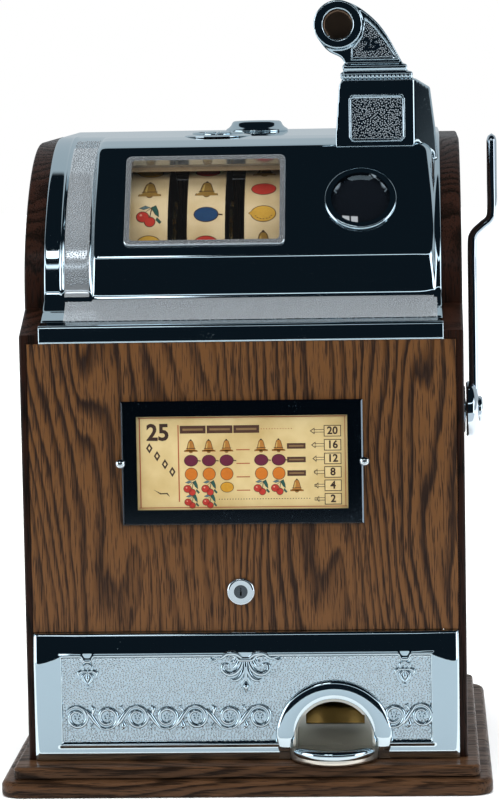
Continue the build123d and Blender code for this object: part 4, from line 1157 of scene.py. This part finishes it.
numbers = bmesh.new()
for text, height in zip(("20", "16", "12", "8", "4", "2"), row_heights):
    numbers.from_mesh(number(text, 72.5, height + 1.0, 6.0, 0.26))
numbers.from_mesh(number("25", -67.5, 289.0, 13.0, 0.52))
mesh = bpy.data.meshes.new("card_numbers")
bmesh.ops.remove_doubles(numbers, verts=numbers.verts, dist=1e-7)
bmesh.ops.recalc_face_normals(numbers, faces=numbers.faces)
numbers.to_mesh(mesh)
numbers.free()
mesh.materials.append(plain_paper("number_ink", dark_ink))
figures = placed("card_numbers", mesh)
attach(figures, "cabinet")
head_number = placed("neck_number", number("25", 106.0, 595.0, 9.6, 0.42, case_front + 102.6, 0.7))
head_number.data.materials.append(chrome)
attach(head_number, "cabinet")
dress("award_frame", metal("black_plate", (0.16, 0.20, 0.24), 0.07))
dress("award_screws", metal("screw_plate", (0.66, 0.70, 0.72), 0.09))


# ---- side lever -----------------------------------------------------------------------------
# A forged and chromed arm on a round hub, cranked outwards half way up to a rounded grip, with a
# domed nut over the shaft's end. It turns on the shaft that works the reels.
hub_y, hub_z = 140.0, 290.0


def hoops(rows, sides):
    """Quads between rows of points, each row a closed ring."""
    return [(i * sides + k, i * sides + (k + 1) % sides, (i + 1) * sides + (k + 1) % sides, (i + 1) * sides + k)
            for i in range(rows - 1) for k in range(sides)]


def turned(line, axis_y, axis_z, sides=64):
    """A solid turned about a line along X, from (x, radius) points whose ends are on the axis."""
    turns = [2 * math.pi * k / sides for k in range(sides)]
    verts = [(x, axis_y + r * math.cos(a), axis_z + r * math.sin(a)) for x, r in line for a in turns]
    return verts, hoops(len(line), sides)


def closed(name, verts, faces, material, soft=40):
    """A piece from points in mm in the case's own frame, its doubles merged and faces outwards."""
    mesh = bpy.data.meshes.new(name)
    mesh.from_pydata([(x * 0.001, (y + case_front) * 0.001, z * 0.001) for x, y, z in verts], [], faces)
    work = bmesh.new()
    work.from_mesh(mesh)
    bmesh.ops.remove_doubles(work, verts=work.verts, dist=1e-6)
    bmesh.ops.recalc_face_normals(work, faces=work.faces)
    for face in work.faces:
        face.smooth = True
    work.to_mesh(mesh)
    work.free()
    mesh.set_sharp_from_angle(angle=math.radians(soft))
    mesh.materials.append(material)
    return placed(name, mesh)


def rounded_bar(centre_line, half_deep, half_wide, sides=20):
    """A bar along a line of (x, z) points with an oval section and round ends."""
    line = through(centre_line, 70)
    flow = np.gradient(line, axis=0)
    flow /= np.hypot(*flow.T)[:, None]
    along = np.concatenate(([0], np.cumsum(np.hypot(*np.diff(line, axis=0).T))))
    verts = []
    for i, (x, z) in enumerate(line):
        to_end = min(along[i], along[-1] - along[i])
        shut = math.sqrt(max(0.0, 1 - (1 - min(1, to_end / half_wide)) ** 2))
        for k in range(sides):
            a = 2 * math.pi * k / sides
            c, s = math.cos(a), math.sin(a)
            out = half_deep * math.copysign(abs(c) ** 0.85, c) * shut
            verts.append((x + flow[i][1] * out, hub_y + half_wide * math.copysign(abs(s) ** 0.85, s) * shut,
                          z - flow[i][0] * out))
    return verts, hoops(len(line), sides)


lever_chrome = metal("lever_chrome", (0.60, 0.66, 0.71), 0.04, 0.15, 0.3)
arm_line = [(188, 288), (188, 330), (188, 380), (188, 425), (189.4, 436), (196, 443), (202.8, 449),
            (204.6, 458), (204.6, 480), (204.6, 505), (204.6, 520.4)]
verts, faces = rounded_bar(arm_line, 4.2, 7.2)
arm = closed("lever_bar", verts, faces, lever_chrome, 60)
hub_line = [(181.2, 0), (181.2, 22.0), (182.6, 23.4), (186.0, 23.4), (188.4, 22.2), (190.2, 18.2),
            (191.0, 14.0), (191.8, 12.6), (191.8, 0)]
hub = closed("lever_hub", *turned(hub_line, hub_y, hub_z), lever_chrome)
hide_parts("lever_arm")
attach(arm, "lever")
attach(hub, "lever")
for node in ("lever_nut", "lever_bushing"):
    dress(node, lever_chrome)

# ---- crest, cap and front lock --------------------------------------------------------------
# A leaf ornament and a flared round cap are screwed to the roof; the lock that holds the front
# panel is a chromed barrel with a dark plug and a keyway.
cap_line = [(0, 0), (0, 27.2), (0.5, 27.4), (1.4, 27.3), (2.3, 26.4), (3.4, 24.6), (5.2, 22.8), (7.2, 21.8),
            (8.4, 21.0), (9.0, 19.6), (9.0, 17.8), (8.3, 16.0), (6.6, 13.0), (5.6, 8.0), (5.4, 0)]
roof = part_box("top_cap")[0][2] * 1000
cap_at, crest_at, crest_half = (2, 300), (-24.5, 166), (28.3, 33.8)
sides = 72
turns = [2 * math.pi * k / sides for k in range(sides)]
cap_verts = [(cap_at[0] + r * math.cos(a), cap_at[1] + r * math.sin(a), roof + h) for h, r in cap_line
             for a in turns]
cap = closed("roof_cap", cap_verts, hoops(len(cap_line), sides), chrome)
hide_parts("top_cap")
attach(cap, "cabinet")


def crest_height(x, y):
    """How far the oval plate domes up at a place, in mm."""
    return 2.5 * max(0.0, 1 - (x / crest_half[0]) ** 2 - (y / crest_half[1]) ** 2) ** 0.6


def on_plate(t, a, lift=0.0):
    """A point on the oval plate, t of the way out at an angle; without a lift it is on the roof."""
    x, y = crest_half[0] * t * math.cos(a), crest_half[1] * t * math.sin(a)
    return x + crest_at[0], y + crest_at[1], roof + (lift + crest_height(x, y) if lift else 0)


dome_rings, edge_lift = 13, 0.4
dome_verts = [on_plate(1.0, a) for a in turns]
for ring in range(dome_rings):
    dome_verts += [on_plate(1 - (ring / (dome_rings - 1)) ** 1.4, a, edge_lift) for a in turns]
dome = closed("crest_plate", dome_verts, hoops(dome_rings + 1, sides) + [tuple(range(sides))], chrome)
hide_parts("crest_ornament")
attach(dome, "cabinet")


def on_roof(points, count=18):
    """A smooth line on the oval plate, from points about its middle."""
    return np.array([(x + crest_at[0], y + crest_at[1], roof + 0.6 + crest_height(x, y))
                     for x, y in through(points, count)])


crest_lines = []
for hand in (-1, 1):
    for points, radii in (
            ([(1, -26), (8, -22), (16, -12), (21, 2), (18, 12), (11, 13), (10, 6)],
             [0.5, 1.0, 1.2, 1.1, 0.8, 0.5]),
            ([(1, -16), (6, -9), (9, 0), (7, 9), (2, 15)], [0.5, 1.0, 1.0, 0.5]),
            ([(2, 22), (9, 21), (15, 17), (18, 18)], [0.6, 1.0, 0.8, 0.3])):
        crest_lines.append((on_roof([(hand * x, y) for x, y in points]), radii))
crest_lines.append((on_roof([(0, -28), (0, -4), (0, 16), (0, 28)]), [0.4, 1.1, 1.0, 0.3]))
crest = bars("crest_leaves", crest_lines, chrome)
dress("front_lock_barrel", metal("lock_chrome", (0.66, 0.70, 0.72), 0.06))
dress("front_lock_plug", metal("lock_dark", (0.10, 0.11, 0.12), 0.16))

# ---- wooden case --------------------------------------------------------------------------
# Varnished oak boards: the front panel is plain-sawn with arched figure, the side boards and the
# moulded plinth are stained darker. Dark open pores run along the grain.


def oak_grain():
    """Arched rings from a bent sheet of growth, with short open pores."""
    tree, start, end = group("oak_grain", [
        ("Vector", "NodeSocketVector", None), ("Rings", "NodeSocketFloat", 95.0),
        ("Pale", "NodeSocketColor", None), ("Dark", "NodeSocketColor", None), ("Pore", "NodeSocketColor", None)],
        [("Color", "NodeSocketColor"), ("Roughness", "NodeSocketFloat"), ("Height", "NodeSocketFloat")])
    given = start.outputs

    def drawn_out(scale, detail):
        """Noise drawn out along the grain."""
        long = add(tree, "ShaderNodeMapping", [("Vector", given["Vector"]), ("Scale", scale)]).outputs[0]
        return noise(tree, long, 1.0, detail)

    sway = drawn_out((9.0, 9.0, 2.1), 2.0)
    jitter = drawn_out((60.0, 60.0, 7.0), 3.0)
    across_board = add(tree, "ShaderNodeSeparateXYZ", [(0, given["Vector"])]).outputs["X"]
    growth = maths(tree, "ADD", maths(tree, "MULTIPLY", across_board, given["Rings"]),
                   maths(tree, "MULTIPLY", sway, 17.0))
    ring = maths(tree, "FRACT", maths(tree, "ADD", growth, maths(tree, "MULTIPLY", jitter, 1.5)))
    band = maths(tree, "MAXIMUM", remap(tree, ring, 0.52, 0.96), remap(tree, ring, 0.0, 0.14, 1.0, 0.0))
    band = maths(tree, "MULTIPLY", band, remap(tree, sway, 0.30, 0.66, 0.35, 1.0))
    pore_value = maths(tree, "ADD", drawn_out((950.0, 950.0, 52.0), 2.0), maths(tree, "MULTIPLY", band, 0.14))
    pores = remap(tree, pore_value, 0.53, 0.66)
    timber = mix(tree, band, given["Pale"], given["Dark"])
    wire(end, [("Color", mix(tree, maths(tree, "MULTIPLY", pores, 0.85), timber, given["Pore"])),
               ("Roughness", remap(tree, pores, 0.0, 1.0, 0.34, 0.62)),
               ("Height", maths(tree, "SUBTRACT", 1.0, pores))])
    return tree


oak = oak_grain()


def wood(name, pale, dark, pore, turn=(0, 0, 0), rings=95.0, coat=0.25, shine=0.08):
    """A varnished timber with its grain along Z unless turned."""
    material, tree, shader = blank_material(name)
    turned_to = add(tree, "ShaderNodeMapping", [("Vector", object_place(tree)), ("Rotation", turn)])
    grain = add(tree, "ShaderNodeGroup", [("Vector", turned_to.outputs[0]), ("Rings", rings),
                ("Pale", (*pale, 1)), ("Dark", (*dark, 1)), ("Pore", (*pore, 1))], node_tree=oak)
    wire(shader, [("Base Color", grain.outputs["Color"]), ("Roughness", grain.outputs["Roughness"]),
                  ("Coat Weight", coat), ("Coat Roughness", 0.18), ("Specular IOR Level", shine),
                  ("Normal", bump(tree, grain.outputs["Height"], 0.00015))])
    return material


quarter = math.pi / 2
dress("front_panel", wood("panel_oak", (0.155, 0.066, 0.022), (0.026, 0.010, 0.004), (0.014, 0.006, 0.003),
                          coat=0.06, shine=0.22))
board_oak = wood("board_oak", (0.020, 0.008, 0.005), (0.007, 0.003, 0.002), (0.003, 0.002, 0.001),
                 (0, 0, quarter), coat=0.08)
for node in ("side_board_left", "side_board_right"):
    dress(node, board_oak)
dress("base_plinth", wood("plinth_oak", (0.070, 0.034, 0.016), (0.016, 0.008, 0.004), (0.008, 0.004, 0.002),
                          (0, quarter, 0), 70.0, 0.08))
rear_colours = (0.26, 0.16, 0.085), (0.13, 0.072, 0.036), (0.05, 0.027, 0.014)
rear_oak = wood("rear_oak", *rear_colours)
for node in ("back_door", "shelf_cleats"):
    dress(node, rear_oak)
dress("rear_rails", wood("rail_oak", *rear_colours, (0, quarter, 0)))

# ---- mechanism and back fittings ------------------------------------------------------------
# The works sit on a grey-painted iron plate: steel frames and rods, spun drums, toothed index
# wheels, brass coin parts, and a plated cash box. The back door hangs on two steel hinges.


def painted(name, colour, rough):
    """Thin old paint over iron, worn and dusty in patches."""
    material, tree, shader = blank_material(name)
    place = object_place(tree)
    cast = noise(tree, place, 210.0, 4.0)
    worn = remap(tree, noise(tree, place, 26.0, 4.0), 0.44, 0.72)
    wire(shader, [("Base Color", mix(tree, worn, colour, [c * 0.6 for c in colour])),
                  ("Roughness", remap(tree, cast, 0.0, 1.0, rough, rough + 0.2)),
                  ("Normal", bump(tree, cast, 0.0002))])
    return material


steel = metal("bright_steel", (0.48, 0.48, 0.47), 0.28, 0.2, 0.5)
brass = metal("aged_brass", (0.52, 0.36, 0.13), 0.26, 0.3, 0.6)
dull_drum = metal("spun_drum", (0.55, 0.55, 0.54), 0.32, 0.2, 0.4)
dress("mech_base", painted("iron_paint", (0.075, 0.080, 0.085), 0.5))
for node in ("frame_upright_left", "frame_upright_right", "frame_tie_rods", "reel_shaft", "stop_lever_rod",
             "stop_lever_left", "stop_lever_middle", "stop_lever_right", "drive_crank", "lever_shaft",
             "return_spring", "front_lock_cam", "hinge_leaves_fixed", "hinge_leaves_moving", "hinge_pins",
             "door_keeper", "casting_screws"):
    dress(node, steel)
for node in ("index_wheel_left", "index_wheel_middle", "index_wheel_right", "coin_tube", "coin_chute",
             "payout_slide", "payout_chute", "door_lock_plug"):
    dress(node, brass)
for node in ("reel_drum_left", "reel_drum_middle", "reel_drum_right"):
    dress(node, dull_drum)
dress("cash_box", metal("cash_box_plate", (0.42, 0.41, 0.38), 0.34, 0.4, 0.6))
dress("door_lock_barrel", metal("door_lock_nickel", (0.62, 0.61, 0.57), 0.14))
